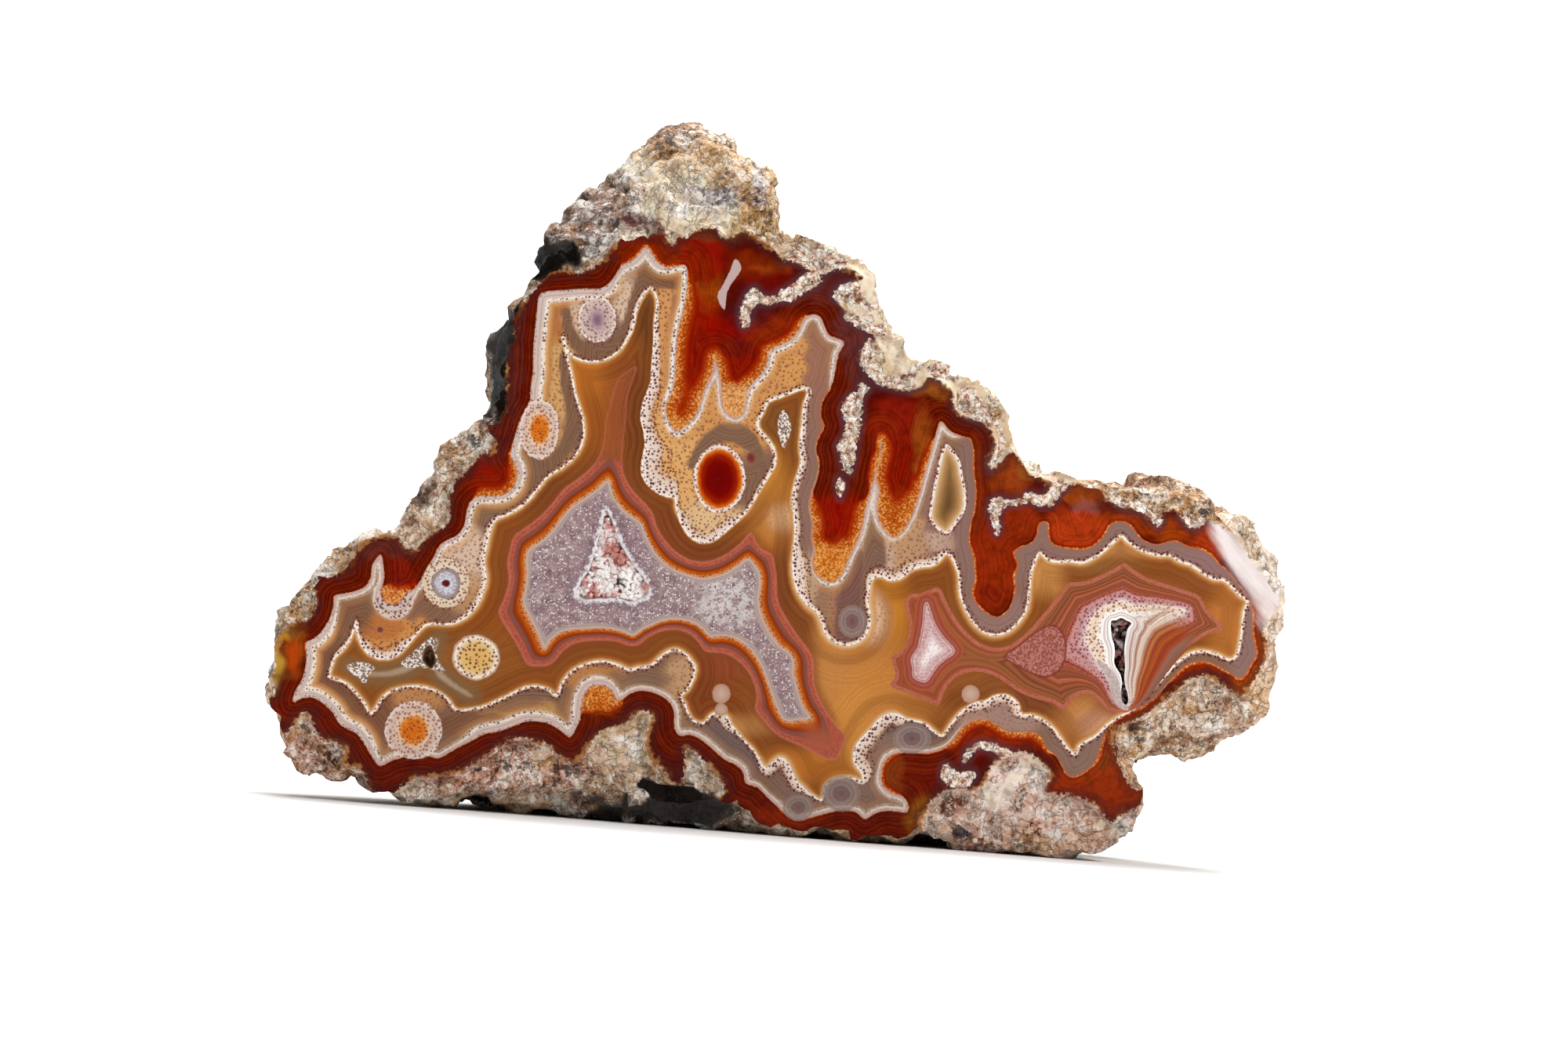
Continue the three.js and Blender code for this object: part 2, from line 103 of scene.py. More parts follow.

# %% [markdown]
# ## Outlines of the bands
# Agate bands run side by side, so a few main lines tell where all the others lie. Each line is a closed loop
# of points listed along one colour change. A smooth curve through the points keeps the flow of the
# stone, and fewer points would lose the fingers that hang down from the red band.

# %% Main lines, clockwise
AGATE_EDGE = [
    (334, 905), (340, 892), (352, 882), (346, 868), (352, 850), (350, 830), (355, 812), (366, 800),
    (378, 793), (392, 790), (402, 778), (403, 765), (400, 752), (398, 742), (406, 735), (422, 736),
    (436, 728), (448, 716), (454, 704), (460, 692), (475, 685), (492, 683), (508, 686), (516, 697),
    (530, 700), (541, 690), (552, 680), (566, 672), (574, 660), (572, 645), (575, 630), (580, 615),
    (592, 603), (602, 592), (614, 580), (626, 572), (632, 562), (622, 550), (622, 542), (634, 540),
    (641, 530), (647, 518), (646, 505), (643, 490), (645, 470), (650, 440), (653, 415), (660, 398),
    (668, 384), (676, 375), (686, 364), (696, 354), (706, 347), (720, 344), (735, 347), (746, 346),
    (758, 339), (769, 330), (777, 320), (786, 309), (797, 302), (810, 299), (822, 297), (838, 296),
    (848, 298), (853, 308), (860, 310), (866, 301), (876, 302), (886, 294), (897, 290), (912, 291),
    (921, 301), (931, 303), (941, 297), (953, 296), (965, 301), (976, 308), (986, 316), (994, 326),
    (1000, 330), (1008, 325), (1018, 326), (1022, 336), (1034, 342), (1047, 348), (1058, 345), (1074, 340),
    (1088, 345), (1100, 355), (1090, 362), (1078, 370), (1068, 382), (1076, 394), (1088, 402), (1100, 414),
    (1112, 420), (1118, 430), (1112, 440), (1102, 450), (1098, 463), (1108, 474), (1122, 482), (1138, 492),
    (1156, 497), (1174, 492), (1182, 482), (1195, 480), (1206, 492), (1216, 500), (1216, 515), (1224, 528),
    (1240, 534), (1254, 538), (1263, 548), (1270, 562), (1268, 578), (1262, 592), (1268, 596), (1280, 585),
    (1292, 575), (1306, 592), (1320, 604), (1335, 612), (1350, 622), (1364, 618), (1380, 618), (1400, 621),
    (1412, 634), (1424, 642), (1440, 645), (1455, 648), (1466, 657), (1478, 664), (1484, 652), (1498, 650),
    (1510, 662), (1524, 670), (1540, 662), (1558, 672), (1574, 682), (1585, 695), (1594, 712), (1606, 722),
    (1620, 733), (1630, 750), (1630, 772), (1618, 790), (1612, 805), (1616, 820), (1616, 835), (1608, 852),
    (1600, 868), (1592, 880), (1584, 889), (1574, 882), (1562, 876), (1550, 868), (1536, 862), (1522, 864),
    (1510, 872), (1498, 884), (1486, 894), (1472, 904), (1458, 914), (1442, 921), (1430, 926), (1421, 938),
    (1421, 955), (1427, 972), (1434, 990), (1444, 1003), (1460, 1010), (1454, 1028), (1440, 1036),
    (1426, 1042), (1418, 1050), (1408, 1042), (1400, 1030), (1388, 1022), (1370, 1015), (1350, 1013),
    (1334, 1008), (1340, 990), (1334, 977), (1320, 966), (1306, 958), (1290, 962), (1276, 968), (1264, 980),
    (1258, 998), (1244, 1008), (1222, 1006), (1204, 1010), (1190, 1020), (1182, 1034), (1176, 1050),
    (1172, 1072), (1140, 1082), (1100, 1086), (1064, 1080), (1050, 1070), (1000, 1070), (960, 1056),
    (930, 1042), (914, 1024), (924, 1008), (920, 996), (910, 984), (898, 970), (886, 958), (874, 956),
    (874, 972), (872, 988), (866, 1000), (856, 996), (848, 984), (836, 974), (826, 962), (822, 946),
    (826, 930), (832, 916), (824, 907), (812, 908), (802, 918), (790, 926), (776, 928), (764, 936),
    (754, 948), (746, 962), (734, 972), (720, 968), (706, 956), (690, 946), (668, 942), (648, 945),
    (628, 957), (608, 972), (590, 984), (570, 990), (548, 990), (528, 994), (512, 1004), (496, 1018),
    (478, 1012), (470, 1000), (462, 985), (448, 977), (438, 972), (440, 956), (428, 946), (412, 944),
    (402, 930), (396, 914), (386, 910), (374, 922), (362, 940), (346, 930),
]

# The inner edge of the red band, with the fingers that hang into the agate.
RED_EDGE = [
    (690, 374), (720, 370), (745, 368), (765, 368), (778, 360), (788, 346), (793, 338), (803, 334),
    (813, 326), (824, 314), (832, 323), (838, 333), (850, 341), (862, 340), (874, 338), (877, 350),
    (876, 370), (873, 390), (868, 408), (864, 430), (862, 455), (861, 480), (857, 500), (851, 513),
    (849, 525), (853, 536), (862, 550), (870, 546), (880, 538), (888, 528), (893, 514), (897, 500),
    (903, 487), (909, 474), (912, 456), (917, 472), (920, 488), (921, 505), (923, 520), (930, 529),
    (940, 532), (948, 526), (951, 510), (954, 497), (962, 486), (972, 475), (979, 461), (982, 447),
    (1000, 438), (1012, 430), (1020, 418), (1025, 407), (1036, 401), (1046, 404), (1051, 414), (1058, 428),
    (1077, 436), (1070, 450), (1066, 468), (1063, 484), (1057, 499), (1049, 512), (1047, 530), (1051, 544),
    (1043, 560), (1041, 576), (1045, 592), (1042, 612), (1035, 632), (1033, 650), (1037, 668), (1036, 686),
    (1040, 702), (1037, 717), (1041, 731), (1051, 740), (1062, 742), (1072, 735), (1079, 720), (1086, 704),
    (1094, 688), (1100, 668), (1104, 648), (1110, 626), (1117, 600), (1122, 578), (1123, 556), (1125, 574),
    (1121, 592), (1118, 610), (1122, 626), (1119, 645), (1122, 664), (1129, 676), (1139, 685), (1149, 680),
    (1158, 667), (1166, 650), (1173, 628), (1179, 604), (1186, 580), (1193, 556), (1200, 537), (1211, 549),
    (1225, 556), (1238, 560), (1242, 576), (1242, 600), (1245, 625), (1243, 650), (1238, 670), (1236, 690),
    (1241, 706), (1243, 722), (1244, 740), (1240, 755), (1246, 770), (1258, 781), (1271, 787), (1284, 780),
    (1291, 767), (1295, 750), (1294, 735), (1298, 720), (1294, 706), (1301, 698), (1316, 692), (1323, 680),
    (1326, 668), (1336, 666), (1337, 680), (1341, 692), (1353, 698), (1368, 700), (1386, 700), (1400, 692),
    (1410, 680), (1416, 669), (1427, 665), (1438, 667), (1447, 676), (1456, 687), (1468, 693), (1480, 694),
    (1492, 690), (1504, 691), (1516, 697), (1530, 700), (1544, 707), (1554, 718), (1566, 728), (1580, 745),
    (1592, 762), (1598, 780), (1598, 805), (1601, 822), (1603, 834), (1597, 846), (1590, 858), (1583, 866),
    (1572, 861), (1560, 854), (1547, 847), (1534, 844), (1520, 846), (1508, 853), (1495, 866), (1481, 882),
    (1468, 894), (1454, 903), (1440, 909), (1427, 916), (1415, 926), (1408, 940), (1403, 956), (1398, 970),
    (1390, 980), (1378, 988), (1365, 991), (1358, 984), (1352, 972), (1345, 962), (1335, 955), (1329, 942),
    (1317, 934), (1300, 934), (1285, 933), (1272, 925), (1258, 918), (1245, 918), (1230, 926), (1220, 938),
    (1210, 950), (1195, 958), (1180, 961), (1165, 960), (1150, 960), (1138, 963), (1128, 972), (1124, 986),
    (1126, 1001), (1137, 1011), (1150, 1015), (1158, 1024), (1157, 1036), (1144, 1035), (1130, 1034),
    (1115, 1038), (1103, 1045), (1092, 1036), (1075, 1033), (1055, 1037), (1036, 1042), (1018, 1046),
    (1005, 1041), (993, 1030), (980, 1018), (966, 1004), (951, 999), (948, 985), (938, 975), (925, 969),
    (914, 960), (903, 950), (892, 942), (880, 937), (866, 938), (860, 926), (860, 911), (857, 900),
    (850, 892), (840, 886), (828, 882), (815, 881), (803, 885), (794, 892), (787, 893), (782, 884),
    (775, 877), (764, 874), (752, 877), (745, 887), (742, 900), (740, 916), (735, 928), (727, 940),
    (714, 931), (700, 923), (685, 920), (668, 921), (650, 928), (635, 933), (618, 936), (601, 945),
    (585, 953), (571, 961), (559, 967), (545, 964), (530, 963), (515, 965), (500, 970), (484, 977),
    (476, 967), (468, 954), (462, 944), (454, 935), (444, 930), (432, 922), (424, 908), (412, 897),
    (400, 890), (386, 890), (373, 896), (377, 881), (384, 869), (389, 854), (391, 836), (390, 820),
    (401, 814), (412, 803), (420, 790), (425, 775), (427, 760), (441, 757), (456, 753), (467, 747),
    (473, 736), (475, 720), (486, 707), (489, 722), (490, 738), (487, 751), (488, 762), (494, 768),
    (502, 771), (510, 768), (515, 760), (521, 754), (528, 751),
    (536, 741), (543, 727), (553, 711), (560, 697), (570, 689), (583, 683), (592, 670), (595, 655),
    (599, 641), (611, 633), (626, 633), (643, 631), (655, 621), (660, 606), (657, 592), (651, 582),
    (653, 570), (657, 555), (662, 539), (669, 525), (676, 511), (677, 494), (680, 475), (680, 455),
    (681, 435), (683, 415), (685, 396),
]

# The thin white line, edged with dots, around the inner agate.
LACE = [
    (718, 428), (722, 444), (733, 456), (748, 461), (763, 461), (778, 456), (791, 446), (801, 432),
    (808, 417), (811, 400), (817, 384), (828, 367), (835, 374), (838, 388), (835, 410), (834, 436),
    (832, 462), (830, 488), (824, 504), (819, 520), (818, 536), (822, 552), (823, 570), (819, 588),
    (819, 605), (826, 618), (838, 628), (850, 633), (861, 635), (863, 650), (868, 665), (876, 680),
    (886, 689), (897, 692), (909, 690), (922, 681), (936, 669), (948, 657), (958, 644), (967, 629),
    (977, 613), (986, 599), (990, 585), (987, 571), (980, 560), (971, 550), (967, 540), (973, 527),
    (980, 513), (992, 508), (1008, 502), (1024, 496), (1031, 500), (1026, 513), (1024, 530), (1022, 550),
    (1020, 570), (1022, 588), (1018, 604), (1013, 620), (1010, 640), (1013, 660), (1014, 680), (1012, 700),
    (1011, 720), (1013, 740), (1019, 757), (1030, 771), (1043, 781), (1049, 795), (1053, 808), (1063, 818),
    (1078, 823), (1092, 820), (1103, 812), (1109, 799), (1110, 784), (1107, 768), (1109, 751), (1113, 738),
    (1123, 735), (1136, 740), (1150, 737), (1162, 727), (1176, 723), (1190, 721), (1200, 713), (1208, 705),
    (1217, 717), (1223, 735), (1224, 755), (1231, 776), (1242, 795), (1256, 807), (1270, 810), (1285, 806),
    (1298, 795), (1308, 780), (1312, 764), (1314, 745), (1317, 726), (1326, 706), (1336, 714), (1350, 717),
    (1365, 716), (1380, 718), (1395, 712), (1409, 702), (1421, 691), (1430, 684), (1438, 691), (1450, 699),
    (1465, 706), (1480, 709), (1493, 709), (1504, 716), (1519, 721), (1535, 732), (1549, 739), (1561, 740),
    (1572, 750), (1582, 760), (1591, 768), (1586, 780), (1584, 800), (1581, 820), (1577, 836), (1567, 841),
    (1554, 835), (1540, 831), (1525, 831), (1510, 838), (1497, 849), (1485, 862), (1471, 877), (1457, 892),
    (1446, 903), (1434, 911), (1420, 918), (1408, 928), (1398, 938), (1385, 945), (1376, 952), (1371, 962),
    (1362, 954), (1352, 940), (1342, 927), (1330, 918), (1316, 912), (1303, 911), (1299, 899), (1291, 890),
    (1280, 886), (1268, 888), (1257, 894), (1246, 896), (1235, 901), (1224, 910), (1213, 923), (1202, 938),
    (1191, 932), (1180, 923), (1168, 919), (1155, 916), (1142, 910), (1130, 912), (1120, 919), (1111, 930),
    (1101, 940), (1093, 950), (1089, 962), (1091, 975), (1099, 986), (1100, 996), (1088, 992), (1075, 991),
    (1062, 994), (1052, 1003), (1048, 1020), (1038, 1015), (1027, 1007), (1016, 996), (1010, 984),
    (1004, 972), (995, 966), (985, 973), (976, 980), (968, 967), (960, 955), (950, 945), (941, 934),
    (933, 925), (928, 915), (919, 909), (908, 911), (897, 922), (885, 919), (878, 909), (873, 896),
    (868, 888), (877, 880), (884, 866), (887, 852), (880, 840), (870, 831), (860, 828), (850, 832),
    (840, 840), (829, 849), (815, 851), (803, 854), (793, 850), (780, 845), (765, 843), (750, 846),
    (735, 852), (723, 862), (715, 875), (710, 887), (700, 879), (685, 875), (668, 877), (652, 885),
    (635, 893), (616, 901), (598, 904), (582, 905), (574, 894), (564, 885), (549, 878), (530, 875),
    (510, 877), (495, 883), (485, 893), (474, 910), (466, 898), (455, 884), (443, 872), (430, 866),
    (420, 862), (424, 848), (428, 838), (440, 826), (448, 812), (455, 792), (456, 808), (461, 822),
    (470, 834), (483, 840), (497, 840), (511, 833), (522, 820), (532, 808), (544, 797), (558, 796),
    (575, 796), (590, 790), (603, 779), (612, 765), (618, 749), (620, 735), (617, 718), (620, 700),
    (624, 682), (631, 664), (646, 657), (661, 649), (675, 637), (688, 621), (700, 607), (715, 598),
    (730, 586), (740, 572), (745, 555), (744, 535), (738, 515), (733, 498), (730, 480), (725, 460),
]
LENS = [
    (1207, 569), (1214, 577), (1222, 589), (1225, 605), (1229, 625), (1229, 648), (1220, 663), (1208, 678),
    (1196, 672), (1188, 660), (1190, 640), (1194, 620), (1198, 600), (1202, 582),
]

# The quartz that fills the middle, and the three-cornered hollow in it.
CORE = [
    (776, 612), (780, 626), (786, 639), (796, 651), (808, 660), (818, 667), (823, 680), (829, 693),
    (837, 706), (848, 718), (862, 727), (878, 733), (895, 737), (912, 735), (928, 729), (942, 720),
    (955, 712), (964, 722), (970, 733), (970, 748), (968, 765), (970, 780), (976, 795), (984, 810),
    (995, 824), (1008, 833), (1013, 845), (1012, 858), (1016, 872), (1020, 888), (1026, 904), (1035, 916),
    (1020, 918), (1005, 920), (996, 914), (990, 900), (983, 882), (977, 865), (970, 848), (960, 832),
    (948, 820), (935, 813), (920, 811), (905, 812), (897, 803), (885, 795), (872, 791), (858, 790),
    (845, 792), (833, 797), (820, 803), (808, 811), (797, 807), (783, 803), (765, 801), (745, 802),
    (728, 803), (712, 808), (701, 818), (694, 828), (688, 812), (682, 800), (675, 786), (667, 769),
    (669, 755), (671, 742), (672, 728), (671, 714), (674, 702), (686, 693), (699, 683), (710, 670),
    (720, 656), (731, 645), (746, 635), (762, 624),
]
TRIANGLE = [
    (772, 650), (780, 662), (787, 683), (797, 703), (808, 720), (820, 735), (828, 752), (822, 762),
    (805, 768), (788, 763), (765, 764), (742, 764), (735, 756), (742, 740), (752, 725), (757, 708),
    (762, 690), (768, 672),
]

# The chamber at the right, which pinches in to a waist left of its open slit.
CHAMBER = [
    (1434, 718), (1447, 727), (1460, 735), (1475, 741), (1490, 746), (1506, 751), (1521, 756), (1532, 762),
    (1537, 773), (1546, 784), (1555, 793), (1560, 803), (1548, 806), (1535, 812), (1521, 822), (1508, 835),
    (1495, 850), (1482, 867), (1469, 884), (1456, 898), (1446, 905), (1434, 909), (1420, 908), (1410, 903),
    (1400, 892), (1390, 885), (1378, 886), (1366, 893), (1358, 906), (1345, 898), (1328, 893), (1312, 888),
    (1297, 881), (1283, 871), (1268, 862), (1252, 857), (1236, 857), (1222, 862), (1211, 872), (1203, 885),
    (1197, 899), (1181, 893), (1165, 887), (1150, 881), (1135, 875), (1142, 863), (1140, 850), (1137, 838),
    (1150, 830), (1158, 815), (1160, 800), (1157, 785), (1154, 770), (1160, 758), (1173, 757), (1186, 752),
    (1198, 749), (1205, 762), (1213, 778), (1222, 793), (1235, 808), (1250, 820), (1268, 826), (1285, 824),
    (1300, 815), (1315, 801), (1328, 786), (1340, 772), (1351, 758), (1362, 744), (1385, 741), (1405, 733),
    (1421, 725),
]
SLIT = [
    (1417, 793), (1424, 791), (1430, 788), (1436, 791), (1443, 795), (1438, 802), (1436, 812), (1434, 826),
    (1434, 838), (1435, 850), (1434, 862), (1435, 874), (1438, 884), (1439, 894), (1436, 899), (1431, 893),
    (1430, 882), (1431, 870), (1429, 860), (1424, 852), (1421, 844), (1422, 832), (1421, 822), (1418, 812),
]
DIAMOND = [
    (1182, 770), (1187, 786), (1194, 802), (1204, 816), (1216, 830), (1204, 840), (1194, 849), (1187, 859),
    (1180, 868), (1167, 863), (1166, 851), (1164, 840), (1172, 827), (1176, 811), (1179, 795), (1180, 782),
]
SUGAR = [
    (1281, 838), (1298, 825), (1318, 809), (1338, 798), (1352, 803), (1359, 820), (1358, 840), (1350, 855),
    (1334, 863), (1317, 859), (1299, 849),
]

# Crinkled white rock caught inside the agate, and a lilac sliver between two red fingers.
CRINKLES = [
    [(947, 418), (944, 400), (948, 384), (956, 372), (964, 366), (972, 376), (986, 378), (998, 370),
     (1012, 362), (1024, 352), (1040, 346), (1048, 356), (1040, 366), (1024, 374), (1010, 384), (994, 384),
     (980, 388), (966, 388), (958, 398), (956, 412)],
    [(1085, 503), (1092, 500), (1098, 490), (1108, 494), (1100, 510), (1099, 530), (1096, 550), (1092, 570),
     (1089, 590), (1084, 604), (1076, 598), (1072, 580), (1068, 568), (1076, 556), (1078, 540), (1074, 524),
     (1078, 510)],
    [(1068, 612), (1074, 610), (1077, 620), (1074, 630), (1071, 636), (1068, 624)],
    [(1264, 638), (1276, 634), (1290, 638), (1302, 634), (1316, 628), (1328, 632), (1340, 622), (1350, 612),
     (1362, 618), (1352, 632), (1342, 644), (1328, 646), (1314, 640), (1300, 644), (1284, 646), (1274, 656),
     (1276, 672), (1271, 682), (1266, 668), (1262, 652)],
    [(1228, 970), (1232, 958), (1240, 950), (1252, 946), (1266, 948), (1280, 954), (1292, 960), (1288, 968),
     (1272, 964), (1258, 956), (1246, 956), (1238, 964), (1232, 974)],
    [(1200, 988), (1206, 974), (1214, 980), (1224, 986), (1236, 982), (1244, 986), (1240, 996), (1232, 1004),
     (1218, 1004), (1206, 998)],
]
SLIVER = [(938, 330), (946, 342), (940, 352), (933, 362), (927, 374), (924, 396), (915, 378), (922, 364), (930, 348)]
print("the face is traced by", len(AGATE_EDGE) + len(RED_EDGE) + len(LACE) + len(CORE) + len(CHAMBER), "points")

# %% Smaller outlines
# The outer line of the brick-coloured band around the quartz, with a spike at the top and a tail below.
BRICK = [
    (812, 468), (806, 485), (800, 505), (798, 530), (795, 555), (793, 580), (794, 600), (800, 616),
    (810, 630), (822, 642), (832, 656), (836, 670), (844, 684), (853, 696), (864, 706), (878, 714),
    (894, 717), (910, 715), (926, 708), (940, 698), (950, 688), (958, 680), (964, 692), (972, 702),
    (984, 708), (988, 724), (990, 742), (990, 758), (994, 774), (1002, 788), (1010, 801), (1018, 813),
    (1027, 824), (1035, 838), (1037, 855), (1037, 870), (1042, 886), (1050, 902), (1060, 917), (1070, 930),
    (1078, 940), (1073, 954), (1067, 967), (1054, 967), (1040, 960), (1024, 952), (1008, 945), (994, 938),
    (984, 929), (974, 917), (964, 905), (966, 892), (964, 876), (956, 858), (943, 843), (926, 833),
    (908, 831), (899, 829), (891, 818), (880, 808), (866, 803), (850, 803), (836, 807), (824, 814),
    (813, 822), (801, 822), (790, 818), (776, 816), (760, 816), (744, 817), (730, 821), (718, 829),
    (707, 842), (698, 848), (684, 849), (673, 847), (668, 838), (660, 822), (650, 806), (640, 790),
    (637, 779), (643, 766), (648, 750), (650, 735), (648, 718), (651, 702), (656, 685), (667, 676),
    (681, 666), (695, 654), (707, 640), (720, 624), (734, 614), (748, 603), (760, 590), (768, 574), (771, 556),
    (773, 538), (778, 518), (783, 498), (790, 482), (800, 474),
]

# A grey tongue beside the slit, thin grey seams and sparkling quartz at the left, and rock at the margin.
TONGUE = [
    (1398, 843), (1410, 847), (1419, 856), (1426, 868), (1430, 882), (1436, 896), (1440, 905), (1430, 904),
    (1421, 894), (1417, 880), (1414, 867), (1407, 856),
]
# A whitish streaky patch at the right edge of the face.
WHITISH_PATCH = [
    (1543, 668), (1556, 664), (1574, 676), (1592, 694), (1612, 712), (1630, 736), (1638, 765), (1632, 792),
    (1618, 802), (1606, 792), (1601, 775), (1592, 756), (1580, 738), (1566, 720), (1554, 700), (1546, 684),
]
SPUR = [(1436, 786), (1455, 780), (1475, 776), (1495, 775), (1514, 778), (1495, 780), (1475, 784), (1448, 794)]
SEAMS = [
    [(441, 848), (460, 852), (480, 856), (502, 853), (524, 844), (544, 828), (560, 812), (556, 832),
     (540, 846), (520, 858), (500, 863), (480, 864), (460, 861)],
    [(553, 852), (564, 856), (580, 870), (603, 885), (598, 890), (574, 876), (558, 864)],
]
SPARKLES = [
    [(442, 850), (452, 845), (466, 845), (478, 852), (470, 861), (466, 872), (456, 863), (448, 858)],
    [(510, 848), (522, 836), (534, 826), (548, 814), (558, 816), (556, 830), (560, 844), (568, 858),
     (552, 854), (536, 850), (524, 852)],
    [(1000, 522), (1006, 534), (1009, 549), (1004, 563), (999, 571), (995, 560), (992, 546), (994, 532)],
]
ROCKS = [
    [(1002, 330), (1010, 317), (1022, 311), (1034, 313), (1046, 319), (1058, 316), (1070, 322), (1082, 330),
     (1078, 341), (1064, 342), (1052, 349), (1040, 350), (1028, 340), (1016, 335)],
    [(1062, 378), (1070, 366), (1084, 360), (1096, 362), (1100, 374), (1108, 384), (1120, 390), (1110, 396),
     (1096, 392), (1080, 388), (1070, 384)],
    [(1078, 398), (1092, 402), (1104, 410), (1118, 414), (1127, 412), (1131, 424), (1126, 433), (1116, 428),
     (1104, 422), (1092, 416), (1080, 408)],
    [(1110, 432), (1116, 444), (1112, 456), (1120, 468), (1132, 478), (1146, 480), (1158, 470), (1168, 458),
     (1180, 452), (1184, 460), (1172, 474), (1164, 488), (1176, 492), (1160, 497), (1140, 495), (1122, 490),
     (1108, 479), (1100, 464), (1099, 448), (1104, 438)],
    [(1182, 470), (1192, 462), (1206, 460), (1218, 468), (1224, 480), (1214, 488), (1200, 484), (1188, 481)],
    [(1222, 498), (1236, 492), (1246, 500), (1252, 514), (1262, 526), (1272, 530), (1262, 538), (1246, 536),
     (1232, 528), (1220, 518)],
    [(1268, 533), (1277, 545), (1283, 558), (1282, 572), (1275, 584), (1268, 592), (1263, 600), (1265, 586),
     (1272, 572), (1274, 556), (1269, 544)],
    [(1418, 632), (1430, 634), (1444, 636), (1458, 640), (1468, 646), (1478, 656), (1482, 668), (1476, 672),
     (1468, 662), (1456, 654), (1442, 648), (1428, 646)],
    [(1506, 660), (1518, 656), (1530, 658), (1538, 664), (1530, 672), (1518, 672)],
]
print("smaller outlines:", 2 + len(SEAMS) + len(SPARKLES) + len(ROCKS))

# %% [markdown]
# ## How far a point is from a line
# A band lies at a nearly even distance from the line next to it, as it grew that way. So the distance of
# each point of the face to each line is the most useful number there is: a colour ramp over it draws all
# the bands beside that line at once. Distances count as positive inside a line and negative outside.

# %% Smooth lines and distances


def smooth_line(points, steps=3):
    """Closed smooth curve through the points."""
    before = np.array(points, float)
    after = np.roll(before, -1, axis=0)
    first = np.roll(before, 1, axis=0)
    last = np.roll(before, -2, axis=0)
    pieces = []
    for k in range(steps):
        t = k / steps
        bend = (2 * first - 5 * before + 4 * after - last) * t * t
        twist = (3 * before - first - 3 * after + last) * t ** 3
        pieces.append(0.5 * (2 * before + (after - first) * t + bend + twist))
    return np.stack(pieces, axis=1).reshape(-1, 2)


def distance_inside(spots, points):
    """Distance in pixels from each spot to a closed line, positive inside it."""
    start = smooth_line(points)
    run = np.roll(start, -1, axis=0) - start
    length_squared = np.maximum((run ** 2).sum(axis=1), 1e-9)
    result = np.empty(len(spots))
    for low in range(0, len(spots), 6000):
        part = spots[low:low + 6000]
        gap_x = part[:, 0:1] - start[:, 0]
        gap_y = part[:, 1:2] - start[:, 1]
        along = np.clip((gap_x * run[:, 0] + gap_y * run[:, 1]) / length_squared, 0, 1)
        away = np.hypot(gap_x - along * run[:, 0], gap_y - along * run[:, 1]).min(axis=1)
        crosses = (gap_y >= 0) != (gap_y - run[:, 1] >= 0)
        slope = np.where(run[:, 1] == 0, 1.0, run[:, 1])
        left = gap_x < gap_y * run[:, 0] / slope
        inside = (crosses & left).sum(axis=1) % 2 == 1
        result[low:low + 6000] = np.where(inside, away, -away)
    return result


def ease(value, start, end):
    """Runs smoothly from 0 at start to 1 at end."""
    t = np.clip((value - start) / (end - start), 0, 1)
    return t * t * (3 - 2 * t)


test_spots = np.array([(800, 750), (1430, 840), (600, 400)], float)
print("distance of three test spots to the agate's edge:", distance_inside(test_spots, AGATE_EDGE).round(1))

# %% [markdown]
# ## The rough body
# The rind is what the hollow's wall left on the agate: lumpy, pitted and crusted with tiny crystals. The plain
# solid has its main lumps, so its mesh is copied and its hollows are closed. A voxel remesh gives it an even
# skin, and several sizes of noise push that skin in and out. Sculpting by hand could do the same, but the
# noise gives the same result each time.

# %% Copy the solid and close its hollows
MM = 0.001


def deselect_all():
    """Leaves nothing selected, as each operator acts on all that is selected."""
    for thing in bpy.context.selected_objects:
        thing.select_set(False)


def pick(thing):
    """Makes one object the selected and active one."""
    deselect_all()
    thing.select_set(True)
    bpy.context.view_layer.objects.active = thing


def new_object(name, mesh):
    """Links a new object that carries the mesh."""
    thing = bpy.data.objects.new(name, mesh)
    bpy.context.collection.objects.link(thing)
    pick(thing)
    return thing


def corners(mesh):
    """Places of all vertices as an array."""
    flat = np.empty(len(mesh.vertices) * 3)
    mesh.vertices.foreach_get("co", flat)
    return flat.reshape(-1, 3)


def set_corners(mesh, places):
    """Moves all vertices to the places of the array."""
    mesh.vertices.foreach_set("co", places.ravel())
    mesh.update()


def near_a_hollow(place):
    """Tells whether a place just behind the face is in one of the plain solid's hollows."""
    px, py = to_picture(place.x, place.z)
    core = 720 < px < 840 and 640 < py < 780
    slit = 1403 < px < 1455 and 778 < py < 908
    vug = 530 < px < 566 and 810 < py < 864
    return (core or slit or vug) and FACE_Y + 0.05 * MM < place.y < FACE_Y + 9.5 * MM


stone = new_object("agate_nodule", frame["nodes"]["nodule"].data.copy())
bpy.ops.object.mode_set(mode="EDIT")
bpy.ops.mesh.select_all(action="SELECT")
bpy.ops.mesh.remove_doubles(threshold=1e-6)
bpy.ops.mesh.select_mode(type="FACE")
bpy.ops.mesh.select_all(action="DESELECT")
bpy.ops.object.mode_set(mode="OBJECT")
for polygon in stone.data.polygons:
    polygon.select = near_a_hollow(polygon.center)
bpy.ops.object.mode_set(mode="EDIT")
bpy.ops.mesh.delete(type="FACE")
bpy.ops.mesh.select_mode(type="VERT")
bpy.ops.mesh.select_all(action="DESELECT")
bpy.ops.mesh.select_non_manifold()
bpy.ops.mesh.fill_holes(sides=0)
bpy.ops.mesh.select_mode(type="FACE")
bpy.ops.mesh.select_all(action="DESELECT")
bpy.ops.object.mode_set(mode="OBJECT")
for polygon in stone.data.polygons:
    on_plane = abs(polygon.center.y - FACE_Y) < 0.03 * MM
    polygon.select = on_plane and polygon.normal.y < -0.9
bpy.ops.object.mode_set(mode="EDIT")
bpy.ops.mesh.extrude_region_move(TRANSFORM_OT_translate={"value": (0, -3 * MM, 0)})
bpy.ops.object.mode_set(mode="OBJECT")
print("the body has", len(stone.data.polygons), "faces and its face stands out by 3 mm to be sawn off again")

